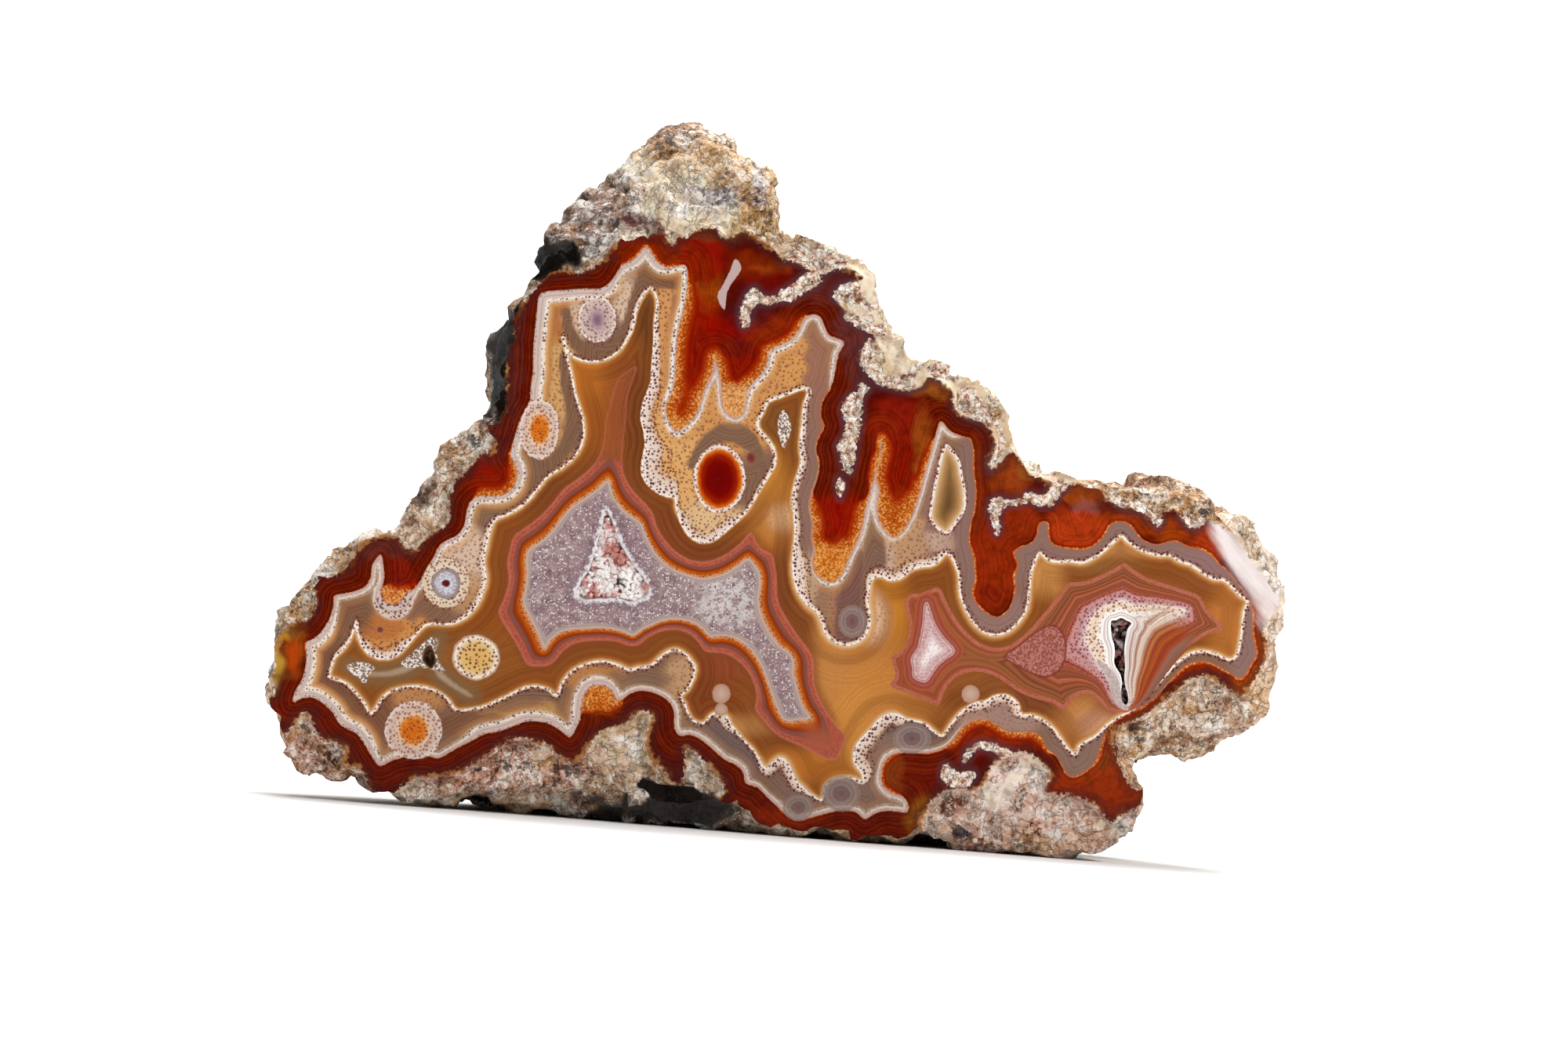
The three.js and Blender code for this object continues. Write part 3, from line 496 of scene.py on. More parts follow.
# %% Even skin
SKIN = 0.62 * MM
remesh = stone.modifiers.new("skin", "REMESH")
remesh.mode = "VOXEL"
remesh.voxel_size = SKIN
bpy.ops.object.modifier_apply(modifier=remesh.name)
soften = stone.modifiers.new("soften", "SMOOTH")
soften.factor = 0.5
soften.iterations = 8
bpy.ops.object.modifier_apply(modifier=soften.name)
print("the skin has", len(stone.data.vertices), "vertices")

# %% Crusty relief


def crust_height(place):
    """Height of the rind over its smooth form at a place, in metres."""
    lump = noise.noise(place / (6.5 * MM)) * 0.6
    knob = noise.turbulence(place / (3.0 * MM), 3, False) * 0.6
    grain = noise.noise(place / (1.1 * MM)) * 0.3
    bent = place / (3.2 * MM) + noise.noise_vector(place / (2.0 * MM)) * 0.3
    gaps, centres = noise.voronoi(bent)
    block = noise.noise(centres[0] * 3.7) * 1.3
    crack = max(0.0, 0.12 - (gaps[1] - gaps[0])) * 3.5
    pit = max(0.0, noise.noise(place / (2.0 * MM) + Vector((7, 3, 9))) - 0.28) * 1.8
    return (lump + knob + grain + block - crack - pit - 0.2) * MM


places = corners(stone.data)
normals = np.empty(len(stone.data.vertices) * 3)
stone.data.vertices.foreach_get("normal", normals)
normals = normals.reshape(-1, 3)
heights = np.array([crust_height(Vector(p)) for p in places])
places += normals * heights[:, None]
places[:, 0] = np.clip(places[:, 0], cad_low.x, cad_high.x)
places[:, 1] = np.minimum(places[:, 1], cad_high.y)
places[:, 2] = np.clip(places[:, 2], cad_low.z, cad_high.z)
set_corners(stone.data, places)
print("the relief runs from", round(heights.min() * 1000, 2), "to", round(heights.max() * 1000, 2), "mm")

# %% [markdown]
# The even skin has more faces than the rind needs. Decimate joins them where the surface is nearly flat and
# leaves the crests, which is better than a coarser remesh. The knob at the top stays fine, because it is seen
# from the front beside the polished face.

# %% Fewer faces on the rind
KNOB_FOOT = 66 * MM
KNOB_DEPTH = 18 * MM
off_knob = (places[:, 2] < KNOB_FOOT) | (places[:, 1] > FACE_Y + KNOB_DEPTH)
thinned = stone.vertex_groups.new(name="thinned")
thinned.add(np.nonzero(off_knob)[0].tolist(), 1.0, "REPLACE")
fewer = stone.modifiers.new("fewer_faces", "DECIMATE")
fewer.vertex_group = thinned.name
fewer.ratio = 0.47
bpy.ops.object.modifier_apply(modifier=fewer.name)
stone.vertex_groups.clear()
print("the rind keeps", len(stone.data.polygons), "triangles")

# %% [markdown]
# ## Sawing the face
# A saw leaves a flat plane, but here the plane should also carry the bands, and the rock at its edge is too
# soft and broken to take a polish. So the saw is a block whose back is a fine grid. Where the rock is rough
# the grid is pushed into the stone, and one boolean cut makes the polished plane and its broken margin
# together. The grid also gives the face enough vertices to hold the distances.

# %% Saw block with a fine back
GRID = 0.29 * MM
SAW_WIDTH = 124 * MM
SAW_HEIGHT = 88 * MM
columns = round(SAW_WIDTH / GRID)
rows = round(SAW_HEIGHT / GRID)
deselect_all()
bpy.ops.mesh.primitive_grid_add(
    x_subdivisions=columns,
    y_subdivisions=rows,
    size=1,
    location=(0, FACE_Y, SAW_HEIGHT / 2 - 2 * MM),
    rotation=(-math.pi / 2, 0, 0),
)
saw = bpy.context.object
saw.name = "saw"
saw.scale = (SAW_WIDTH, SAW_HEIGHT, 1)
bpy.ops.object.transform_apply(location=True, rotation=True, scale=True)
places = corners(saw.data)
spots = np.stack(to_picture(places[:, 0], places[:, 2]), axis=1)
print("the saw's back has", columns, "by", rows, "squares")

# %% Broken rock at the margin


def broken(place, size):
    """Rough height between 0 and 1 that looks like broken crystals of about the given size."""
    gaps, centres = noise.voronoi(place / size)
    block = noise.noise(centres[0] * 3.7) * 0.8
    fine = noise.noise(place / (size * 0.3)) * 0.3
    return min(1.0, max(0.0, 0.45 + block + fine))


def spread(lines, where):
    """Largest distance inside any of several lines."""
    return np.max([distance_inside(where, line) for line in lines], axis=0)


edge = distance_inside(spots, AGATE_EDGE)
caught = spread(CRINKLES + ROCKS, spots)
margin = ease(-edge, 0, 9)
pocket = ease(caught, 0, 6)
depth = np.zeros(len(places))
for i in np.nonzero((margin > 0) & (edge > -170) | (pocket > 0))[0]:
    spot = Vector((places[i, 0], 0, places[i, 2]))
    rough = broken(spot, 1.9 * MM)
    swell = noise.noise(spot / (5 * MM)) * 0.5 + 0.5
    outside = margin[i] * (0.25 + 0.75 * rough + 0.7 * swell)
    depth[i] = max(outside, pocket[i] * (0.05 + 0.35 * rough))
places[:, 1] += depth * MM
set_corners(saw.data, places)
bpy.ops.object.mode_set(mode="EDIT")
bpy.ops.mesh.select_mode(type="EDGE")
bpy.ops.mesh.select_all(action="DESELECT")
bpy.ops.mesh.select_non_manifold()
bpy.ops.mesh.extrude_region_move(TRANSFORM_OT_translate={"value": (0, -12 * MM, 0)})
bpy.ops.mesh.edge_face_add()
bpy.ops.mesh.select_all(action="SELECT")
bpy.ops.mesh.normals_make_consistent(inside=False)
bpy.ops.object.mode_set(mode="OBJECT")
print("the broken margin goes", round(depth.max(), 2), "mm deep")

# %% Cut
for name in ("polished_agate", "rough_rind", "milky_wall", "maroon_wall", "brown_wall"):
    bpy.data.materials.new(name)
stone.data.materials.clear()
stone.data.materials.append(bpy.data.materials["rough_rind"])
saw.data.materials.append(bpy.data.materials["polished_agate"])


def cut_away(body, cutter):
    """Takes the cutter out of the body and removes the cutter."""
    pick(body)
    cut = body.modifiers.new("cut", "BOOLEAN")
    cut.operation = "DIFFERENCE"
    cut.solver = "MANIFOLD"
    cut.material_mode = "TRANSFER"
    cut.object = cutter
    bpy.ops.object.modifier_apply(modifier=cut.name)
    bpy.data.objects.remove(cutter)


cut_away(stone, saw)
print("after the saw the stone has", len(stone.data.polygons), "faces")

# %% [markdown]
# ## Open hollows
# Three holes are still open in the face: the three-cornered one in the quartz, the narrow slit at the right
# and a small one at the lower left. Each is cut by a plug with the hollow's own outline that gets narrower
# towards its bottom, as a clean edge matters more here than the shape of the walls. The cuts leave some faces
# that are thinner than a thousandth of a millimetre, and these are dissolved.

# %% Plugs
SMALL_HOLE = [(549, 822), (554, 832), (556, 845), (550, 853), (543, 849), (538, 840), (541, 828)]


def plug(name, outline, deep, narrow, wall, steps=3):
    """Tapered plug with the outline, from in front of the face to its depth behind it."""
    line = smooth_line(outline, steps)
    middle = line.mean(axis=0)
    front = [to_stone(*p) for p in line]
    back = [to_stone(*(middle + (p - middle) * narrow)) for p in line]
    count = len(front)
    points = [(x, FACE_Y - 1 * MM, z) for x, z in front]
    points += [(x, FACE_Y, z) for x, z in front]
    points += [(x, FACE_Y + deep, z) for x, z in back]
    faces = [tuple(range(count)), tuple(reversed(range(2 * count, 3 * count)))]
    for ring in (0, count):
        for i in range(count):
            j = (i + 1) % count
            faces.append((ring + i, ring + count + i, ring + count + j, ring + j))
    mesh = bpy.data.meshes.new(name)
    mesh.from_pydata(points, [], faces)
    made = new_object(name, mesh)
    bpy.ops.object.mode_set(mode="EDIT")
    bpy.ops.mesh.select_all(action="SELECT")
    bpy.ops.mesh.normals_make_consistent(inside=False)
    bpy.ops.object.mode_set(mode="OBJECT")
    made.data.materials.append(bpy.data.materials[wall])
    return made


cut_away(stone, plug("three_corners", TRIANGLE, 2.6 * MM, 0.8, "milky_wall"))
cut_away(stone, plug("slit", SLIT, 7 * MM, 0.72, "maroon_wall"))
cut_away(stone, plug("small_hole", SMALL_HOLE, 2.6 * MM, 0.55, "brown_wall"))
pick(stone)
bpy.ops.object.mode_set(mode="EDIT")
bpy.ops.mesh.select_mode(type="VERT")
bpy.ops.mesh.select_all(action="SELECT")
bpy.ops.mesh.dissolve_degenerate(threshold=0.001 * MM)
bpy.ops.object.mode_set(mode="OBJECT")
print("the mesh had to be mended:", stone.data.validate())
kinds = np.empty(len(stone.data.polygons), int)
stone.data.polygons.foreach_get("material_index", kinds)
print("faces by finish:", [(m.name, int((kinds == i).sum())) for i, m in enumerate(stone.data.materials)])

# %% [markdown]
# ## Numbers for the finish
# Each vertex of the face gets its distance to every main line. A second set of numbers is airbrushed:
# soft discs of colour tell how the agate is tinted in each part of the face, since the same band is tan in
# one place and grey in another.

# %% Which vertices belong to the face
face_slot = [m.name for m in stone.data.materials].index("polished_agate")
on_face = np.zeros(len(stone.data.vertices), bool)
for polygon in stone.data.polygons:
    if polygon.material_index == face_slot:
        on_face[list(polygon.vertices)] = True
places = corners(stone.data)
all_spots = np.stack(to_picture(places[:, 0], places[:, 2]), axis=1)
face_spots = all_spots[on_face]
print(len(face_spots), "of", len(places), "vertices are on the face")


def keep_number(name, values, elsewhere=0.0):
    """Stores one number for each vertex of the face, and a fixed one for all others."""
    full = np.full(len(places), float(elsewhere))
    full[on_face] = values
    stored = stone.data.attributes.new(name, "FLOAT", "POINT")
    stored.data.foreach_set("value", full)


def keep_colour(name, values, where=None):
    """Stores one colour for each vertex."""
    full = np.zeros((len(places), 4))
    full[on_face if where is None else where] = values
    stored = stone.data.attributes.new(name, "FLOAT_COLOR", "POINT")
    stored.data.foreach_set("color", full.ravel())


# %% Distances to the main lines
for name, line in (
    ("rim", AGATE_EDGE),
    ("red", RED_EDGE),
    ("lace", LACE),
    ("lens", LENS),
    ("core", CORE),
    ("brick", BRICK),
    ("chamber", CHAMBER),
    ("slit", SLIT),
    ("diamond", DIAMOND),
    ("sugar", SUGAR),
    ("sliver", SLIVER),
    ("tongue", TONGUE),
    ("three_corners", TRIANGLE),
    ("milk", WHITISH_PATCH),
    ("spur", SPUR),
):
    keep_number(name, distance_inside(face_spots, line), -60)
for name, lines in (("crinkle", CRINKLES), ("rocks", ROCKS), ("seams", SEAMS), ("sparkles", SPARKLES)):
    keep_number(name, spread(lines, face_spots), -60)
print("stored the distances to", 19, "sets of lines")

# %% Eyes
# Centre, half width and half height of the outer ring.
EYES = {
    "red_eye": [(917, 611, 34, 43)],
    "orange_eye": [(688, 548, 26, 38), (527, 931, 38, 38)],
    "grey_eye": [(569, 744, 30, 32)],
    "violet_eye": [(762, 408, 24, 30)],
    "yellow_eye": [(607, 838, 29, 28)],
    "pale_eye": [(920, 885, 12, 13), (1238, 885, 12, 12), (920, 905, 9, 8)],
    "dark_eye": [(1087, 793, 7, 10), (958, 584, 7, 8), (485, 803, 5, 5)],
    "ringed_eye": [(1087, 793, 19, 21), (1073, 1012, 26, 24), (1018, 1030, 20, 18), (1163, 942, 26, 20)],
    "frost": [(925, 762, 42, 34)],
}
for name, rings in EYES.items():
    reach = np.full(len(face_spots), 9.0)
    for cx, cy, half_width, half_height in rings:
        away = np.hypot((face_spots[:, 0] - cx) / half_width, (face_spots[:, 1] - cy) / half_height)
        reach = np.minimum(reach, away)
    keep_number(name, reach, 9)
print("stored", sum(len(rings) for rings in EYES.values()), "eyes")

# %% Airbrush


def linear(colour):
    """Turns a colour of 0 to 255, as seen on a screen, into light."""
    share = np.array(colour, float) / 255
    return np.where(share <= 0.04045, share / 12.92, ((share + 0.055) / 1.055) ** 2.4)


def spray(where, ground, discs, full=0.6):
    """Sprays soft discs over a ground: numbers, centre x and y, half width, half height, and strength."""
    result = np.tile(np.array(ground, float), (len(where), 1))
    for amount, cx, cy, half_width, half_height, strength in discs:
        away = np.hypot((where[:, 0] - cx) / half_width, (where[:, 1] - cy) / half_height)
        cover = (ease(-away, full / 2 - 1.5, -full) * strength)[:, None]
        result = result * (1 - cover) + np.array(amount, float) * cover
    return result


def airbrush(where, ground, discs, full=0.6):
    """Sprays soft discs of colour, whose fourth number is kept as it is."""
    as_light = [((*linear(disc[0][:3]), disc[0][3]), *disc[1:]) for disc in discs]
    return spray(where, (*linear(ground[:3]), ground[3]), as_light, full)


def brush(where, under, strokes):
    """Paints strokes over the colours so far: a colour, and a path of x, y and half width."""
    for amount, path in strokes:
        reach = np.full(len(where), 9.0)
        for (x, y, width), (next_x, next_y, next_width) in zip(path, path[1:]):
            run = np.array((next_x - x, next_y - y), float)
            along = np.clip((where - (x, y)) @ run / (run @ run), 0, 1)
            gap = where - (x, y) - along[:, None] * run
            reach = np.minimum(reach, np.hypot(gap[:, 0], gap[:, 1]) / (width + (next_width - width) * along))
        cover = ease(-reach, -1.2, -0.8)[:, None]
        under = under * (1 - cover) + np.array((*linear(amount[:3]), amount[3])) * cover
    return under


def shaken(where, size, amount, behind=0.0):
    """Spots moved about by noise, so that what is painted there gets natural edges."""
    deep = np.broadcast_to(behind, len(where))
    moves = [noise.noise_vector(Vector((x, y, z)) / size) for (x, y), z in zip(where, deep)]
    return where + np.array(moves)[:, :2] * amount


# The fourth number of a colour is how densely it is dotted.
BAND_TINTS = [
    ((138, 110, 90, 0.0), 1000, 700, 900, 600, 1.0),
    ((212, 170, 108, 0.9), 702, 470, 34, 110, 1.0),
    ((196, 132, 55, 0.1), 714, 402, 22, 40, 0.9),
    ((226, 205, 175, 0.9), 800, 385, 20, 40, 0.9),
    ((226, 205, 175, 0.9), 735, 410, 18, 40, 0.8),
    ((216, 160, 98, 1.0), 850, 470, 24, 170, 1.0),
    ((228, 178, 112, 1.0), 862, 590, 60, 80, 1.0),
    ((218, 160, 92, 1.0), 995, 462, 60, 46, 1.0),
    ((216, 158, 90, 1.0), 940, 530, 70, 60, 1.0),
    ((228, 196, 148, 1.0), 905, 672, 60, 36, 1.0),
    ((165, 125, 105, 0.1), 1045, 490, 20, 90, 0.9),
    ((150, 124, 112, 0.1), 1028, 640, 20, 150, 0.9),
    ((200, 172, 140, 1.0), 1030, 745, 24, 44, 0.8),
    ((176, 132, 92, 0.9), 1066, 765, 16, 50, 0.9),
    ((128, 104, 104, 0.1), 1090, 775, 22, 70, 1.0),
    ((198, 160, 118, 1.0), 1160, 700, 50, 50, 0.9),
    ((205, 185, 165, 1.0), 1118, 708, 26, 34, 0.8),
    ((150, 122, 118, 0.1), 1195, 640, 16, 90, 0.9),
    ((146, 124, 116, 0.1), 1236, 650, 24, 130, 0.9),
    ((214, 190, 165, 0.9), 1200, 692, 20, 16, 0.9),
    ((158, 134, 128, 0.1), 1270, 790, 50, 40, 0.9),
    ((150, 126, 120, 0.0), 1450, 700, 260, 70, 0.9),
    ((158, 130, 132, 0.0), 1530, 722, 50, 26, 0.7),
    ((150, 130, 128, 0.0), 1590, 800, 30, 90, 0.8),
    ((176, 152, 140, 0.5), 1270, 910, 80, 36, 0.9),
    ((146, 126, 114, 0.0), 1400, 945, 70, 60, 0.9),
    ((112, 102, 98, 0.0), 1165, 935, 60, 30, 0.9),
    ((158, 134, 122, 0.1), 1120, 975, 40, 50, 0.8),
    ((140, 120, 112, 0.1), 1060, 1015, 90, 40, 0.9),
    ((118, 106, 108, 0.0), 930, 955, 70, 50, 0.9),
    ((206, 172, 125, 0.7), 868, 862, 26, 34, 0.9),
    ((206, 150, 86, 0.5), 745, 858, 60, 16, 0.9),
    ((138, 118, 94, 0.0), 800, 866, 60, 12, 0.8),
    ((200, 158, 98, 0.9), 668, 904, 80, 16, 0.9),
    ((138, 112, 84, 0.0), 640, 896, 60, 12, 0.7),
    ((138, 112, 84, 0.0), 720, 905, 16, 40, 0.8),
    ((130, 92, 62, 0.0), 600, 925, 60, 20, 0.9),
    ((204, 150, 92, 0.9), 520, 890, 60, 22, 0.8),
    ((132, 90, 60, 0.1), 470, 905, 36, 44, 1.0),
    ((122, 84, 58, 0.1), 415, 860, 40, 60, 1.0),
    ((210, 150, 84, 1.1), 500, 812, 60, 36, 1.0),
    ((198, 124, 52, 0.2), 486, 800, 36, 18, 0.8),
    ((136, 106, 78, 0.0), 450, 768, 50, 20, 1.0),
    ((140, 110, 82, 0.0), 548, 772, 34, 18, 0.9),
    ((132, 98, 68, 0.1), 445, 785, 30, 30, 1.0),
    ((228, 205, 180, 0.9), 590, 705, 34, 50, 0.9),
    ((208, 168, 118, 0.6), 600, 760, 34, 30, 0.8),
    ((140, 116, 88, 0.0), 640, 652, 40, 14, 0.9),
    ((134, 106, 76, 0.0), 695, 604, 46, 22, 0.9),
    ((206, 164, 104, 0.7), 715, 575, 20, 30, 0.7),
]
BAND_STROKES = [
    ((134, 106, 80, 0.0), [(722, 398, 6), (725, 420, 7), (735, 438, 8), (750, 449, 9), (765, 451, 8),
                           (780, 445, 8), (795, 428, 7), (802, 408, 6), (808, 388, 7), (815, 370, 8),
                           (822, 352, 9), (828, 346, 8)]),
    ((134, 98, 66, 0.0), [(825, 346, 7), (840, 358, 9), (862, 360, 9)]),
    ((168, 120, 92, 0.1), [(862, 380, 5), (858, 440, 5), (854, 490, 4)]),
    ((134, 106, 80, 0.0), [(718, 455, 5), (722, 490, 7), (728, 520, 6), (730, 545, 8), (722, 570, 9),
                           (708, 588, 9), (690, 600, 8), (665, 618, 7)]),
    ((136, 110, 86, 0.0), [(884, 592, 7), (893, 575, 8), (905, 562, 10), (922, 552, 12), (940, 552, 13),
                           (955, 562, 12), (966, 575, 7), (968, 592, 7), (956, 612, 11), (946, 630, 8)]),
    ((128, 92, 86, 0.1), [(1096, 705, 5), (1092, 730, 10), (1085, 755, 13), (1082, 785, 16), (1082, 800, 18)]),
    ((134, 108, 90, 0.0), [(1113, 640, 4), (1114, 665, 8), (1115, 690, 13), (1116, 715, 15), (1104, 740, 6),
                           (1102, 765, 5), (1103, 790, 5)]),
    ((168, 138, 106, 0.2), [(1052, 752, 7), (1050, 770, 6), (1055, 790, 5)]),
]
INNER_TINTS = [
    ((146, 86, 38, 0.0), 1000, 700, 900, 600, 1.0),
    ((196, 122, 44, 0.1), 752, 480, 44, 60, 1.0),
    ((172, 98, 38, 0.0), 758, 540, 36, 44, 0.8),
    ((176, 106, 42, 0.0), 800, 445, 30, 30, 0.7),
    ((140, 72, 40, 0.0), 792, 500, 30, 80, 0.7),
    # Painted shade: these two dark discs just inside the lace are the shadow that the lace seems to cast in the clear
    # agate.
    ((104, 64, 36, 0.0), 826, 410, 22, 60, 0.9),
    ((112, 60, 32, 0.0), 815, 540, 20, 110, 0.9),
    ((124, 62, 38, 0.0), 850, 670, 50, 50, 0.8),
    ((118, 60, 34, 0.0), 905, 705, 60, 20, 0.8),
    ((126, 70, 36, 0.0), 700, 630, 60, 36, 0.9),
    ((150, 84, 34, 0.1), 646, 690, 18, 60, 0.9),
    ((152, 82, 28, 0.0), 622, 790, 36, 50, 0.9),
    ((160, 88, 30, 0.0), 680, 860, 60, 24, 0.7),
    ((146, 94, 44, 0.1), 520, 850, 170, 60, 0.9),
    ((172, 108, 40, 0.0), 450, 856, 40, 20, 0.7),
    ((130, 88, 46, 0.0), 985, 540, 16, 50, 0.8),
    ((120, 84, 46, 0.0), 1018, 560, 8, 60, 0.8),
    ((208, 146, 62, 0.1), 985, 615, 26, 44, 1.0),
    ((196, 134, 66, 0.3), 985, 672, 34, 44, 1.0),
    ((226, 192, 150, 0.5), 999, 661, 22, 20, 0.9),
    ((196, 120, 50, 0.0), 975, 702, 24, 16, 0.7),
    ((122, 68, 38, 0.0), 1000, 745, 18, 70, 0.9),
    ((132, 76, 42, 0.0), 1022, 800, 22, 40, 0.8),
    ((208, 146, 74, 0.3), 1110, 880, 80, 90, 1.0),
    ((206, 150, 84, 0.3), 1060, 850, 34, 60, 0.9),
    ((220, 160, 78, 0.2), 1085, 925, 44, 60, 0.8),
    ((206, 140, 48, 0.2), 1132, 778, 34, 46, 1.0),
    ((230, 206, 178, 1.0), 1114, 788, 22, 34, 1.0),
    ((196, 132, 66, 0.1), 1160, 905, 50, 14, 0.6),
    ((134, 66, 34, 0.0), 905, 870, 50, 60, 1.0),
    ((150, 72, 50, 0.0), 925, 845, 36, 26, 0.7),
    ((206, 132, 52, 0.1), 1025, 975, 60, 26, 0.9),
    ((222, 170, 104, 0.2), 955, 925, 40, 16, 0.6),
    ((150, 92, 44, 0.0), 1280, 735, 60, 60, 0.5),
    ((140, 90, 50, 0.0), 1250, 800, 60, 60, 0.6),
    ((214, 160, 92, 0.2), 1335, 735, 26, 30, 1.0),
    ((150, 108, 62, 0.0), 1400, 722, 60, 12, 0.9),
    ((188, 138, 84, 0.1), 1430, 703, 50, 12, 0.9),
    ((150, 90, 50, 0.1), 1530, 745, 50, 16, 0.8),
    ((206, 136, 68, 0.1), 1562, 795, 26, 50, 0.9),
    ((124, 72, 48, 0.0), 1300, 885, 90, 34, 0.9),
    ((200, 142, 84, 0.1), 1378, 915, 34, 34, 1.0),
    ((216, 172, 145, 0.4), 1398, 922, 26, 20, 0.8),
    ((160, 102, 52, 0.1), 1260, 872, 50, 16, 0.7),
]
# The fourth number is how wide the grainy orange seam at the inner edge is, 1 for 20 pixels.
RED_TINTS = [
    ((84, 10, 2, 0.0), 1000, 700, 900, 600, 1.0),
    ((150, 40, 6, 0.3), 850, 318, 90, 26, 0.7),
    ((170, 76, 10, 0.5), 885, 365, 40, 50, 0.9),
    ((148, 12, 3, 0.0), 895, 330, 34, 34, 0.9),
    ((154, 14, 1, 0.9), 884, 450, 50, 80, 1.0),
    ((168, 56, 6, 1.2), 872, 515, 36, 28, 1.0),
    ((206, 124, 44, 2.4), 865, 546, 26, 18, 1.0),
    ((160, 52, 10, 0.0), 955, 340, 26, 24, 0.6),
    ((176, 72, 18, 0.0), 985, 342, 30, 12, 0.6),
    ((120, 12, 6, 0.0), 980, 362, 44, 20, 0.7),
    ((74, 24, 30, 0.0), 960, 400, 34, 36, 0.9),
    ((134, 8, 2, 0.8), 935, 455, 60, 50, 1.0),
    ((92, 16, 18, 0.0), 942, 440, 24, 18, 0.6),
    ((222, 168, 104, 2.6), 936, 518, 40, 32, 1.0),
    ((150, 40, 8, 0.6), 1000, 425, 50, 24, 0.9),
    ((80, 40, 40, 0.0), 1050, 365, 40, 24, 0.8),
    ((88, 52, 56, 0.0), 1090, 425, 30, 44, 0.9),
    ((70, 46, 50, 0.0), 1105, 470, 26, 34, 0.8),
    ((84, 16, 10, 0.1), 1068, 560, 30, 70, 0.8),
    ((146, 7, 2, 0.9), 1068, 672, 56, 46, 1.0),
    ((214, 134, 46, 2.6), 1058, 724, 50, 38, 1.0),
    ((144, 26, 10, 0.3), 1148, 545, 44, 44, 0.9),
    ((130, 9, 1, 0.8), 1150, 605, 46, 56, 1.0),
    ((184, 94, 18, 1.9), 1142, 664, 46, 38, 1.0),
    ((176, 92, 26, 0.3), 1178, 575, 16, 60, 0.7),
    ((168, 96, 30, 0.0), 1190, 492, 36, 16, 0.9),
    ((165, 70, 22, 0.0), 1290, 605, 30, 30, 0.9),
    ((178, 100, 36, 0.0), 1308, 600, 18, 14, 0.7),
    ((140, 92, 92, 0.0), 1385, 648, 22, 14, 0.8),
    ((204, 66, 22, 0.2), 1375, 675, 46, 28, 1.0),
    ((176, 80, 16, 0.0), 1380, 630, 44, 14, 0.9),
    ((172, 52, 14, 0.2), 1300, 665, 30, 24, 0.8),
    ((160, 44, 10, 0.2), 1262, 725, 44, 60, 1.0),
    ((134, 48, 14, 0.1), 1246, 620, 12, 70, 0.8),
    ((120, 16, 8, 0.0), 1265, 757, 14, 12, 0.8),
    ((172, 64, 16, 0.1), 1440, 664, 44, 18, 0.9),
    ((180, 74, 16, 0.1), 1500, 674, 34, 20, 0.9),
    ((196, 66, 22, 0.2), 1545, 690, 34, 30, 1.0),
    ((180, 84, 16, 0.2), 1604, 815, 30, 50, 1.0),
    ((180, 84, 16, 0.2), 1592, 862, 30, 34, 1.0),
    ((150, 52, 10, 0.3), 1530, 850, 54, 24, 0.8),
    ((70, 34, 34, 0.0), 1540, 868, 34, 12, 0.7),
    ((150, 64, 10, 0.3), 1460, 905, 54, 26, 0.8),
    ((150, 38, 8, 0.6), 1270, 935, 120, 28, 0.9),
    ((170, 74, 14, 0.3), 1415, 955, 30, 44, 0.9),
    ((124, 84, 30, 0.3), 1392, 975, 20, 30, 0.9),
    ((166, 56, 12, 0.1), 1400, 1008, 76, 36, 0.9),
    ((104, 14, 3, 0.1), 1175, 990, 44, 34, 0.9),
    ((140, 66, 18, 0.3), 1136, 985, 18, 36, 0.9),
    ((172, 116, 28, 0.0), 1178, 1045, 24, 30, 0.8),
    ((150, 40, 8, 0.1), 1000, 1042, 60, 16, 0.8),
    ((88, 12, 4, 0.0), 1090, 1050, 60, 18, 0.7),
    ((204, 108, 16, 2.6), 762, 888, 30, 26, 1.0),
    ((140, 18, 4, 0.8), 632, 605, 40, 36, 0.9),
    ((200, 112, 54, 2.4), 500, 762, 24, 20, 1.0),
    ((120, 10, 10, 0.5), 513, 730, 20, 26, 0.9),
    ((180, 90, 14, 0.2), 372, 825, 20, 38, 0.8),
    ((95, 60, 55, 0.0), 490, 700, 34, 12, 0.6),
    ((118, 66, 36, 0.0), 905, 298, 54, 10, 0.6),
    ((60, 32, 36, 0.0), 655, 450, 14, 100, 0.8),
    ((56, 28, 30, 0.0), 640, 565, 24, 34, 0.6),
]
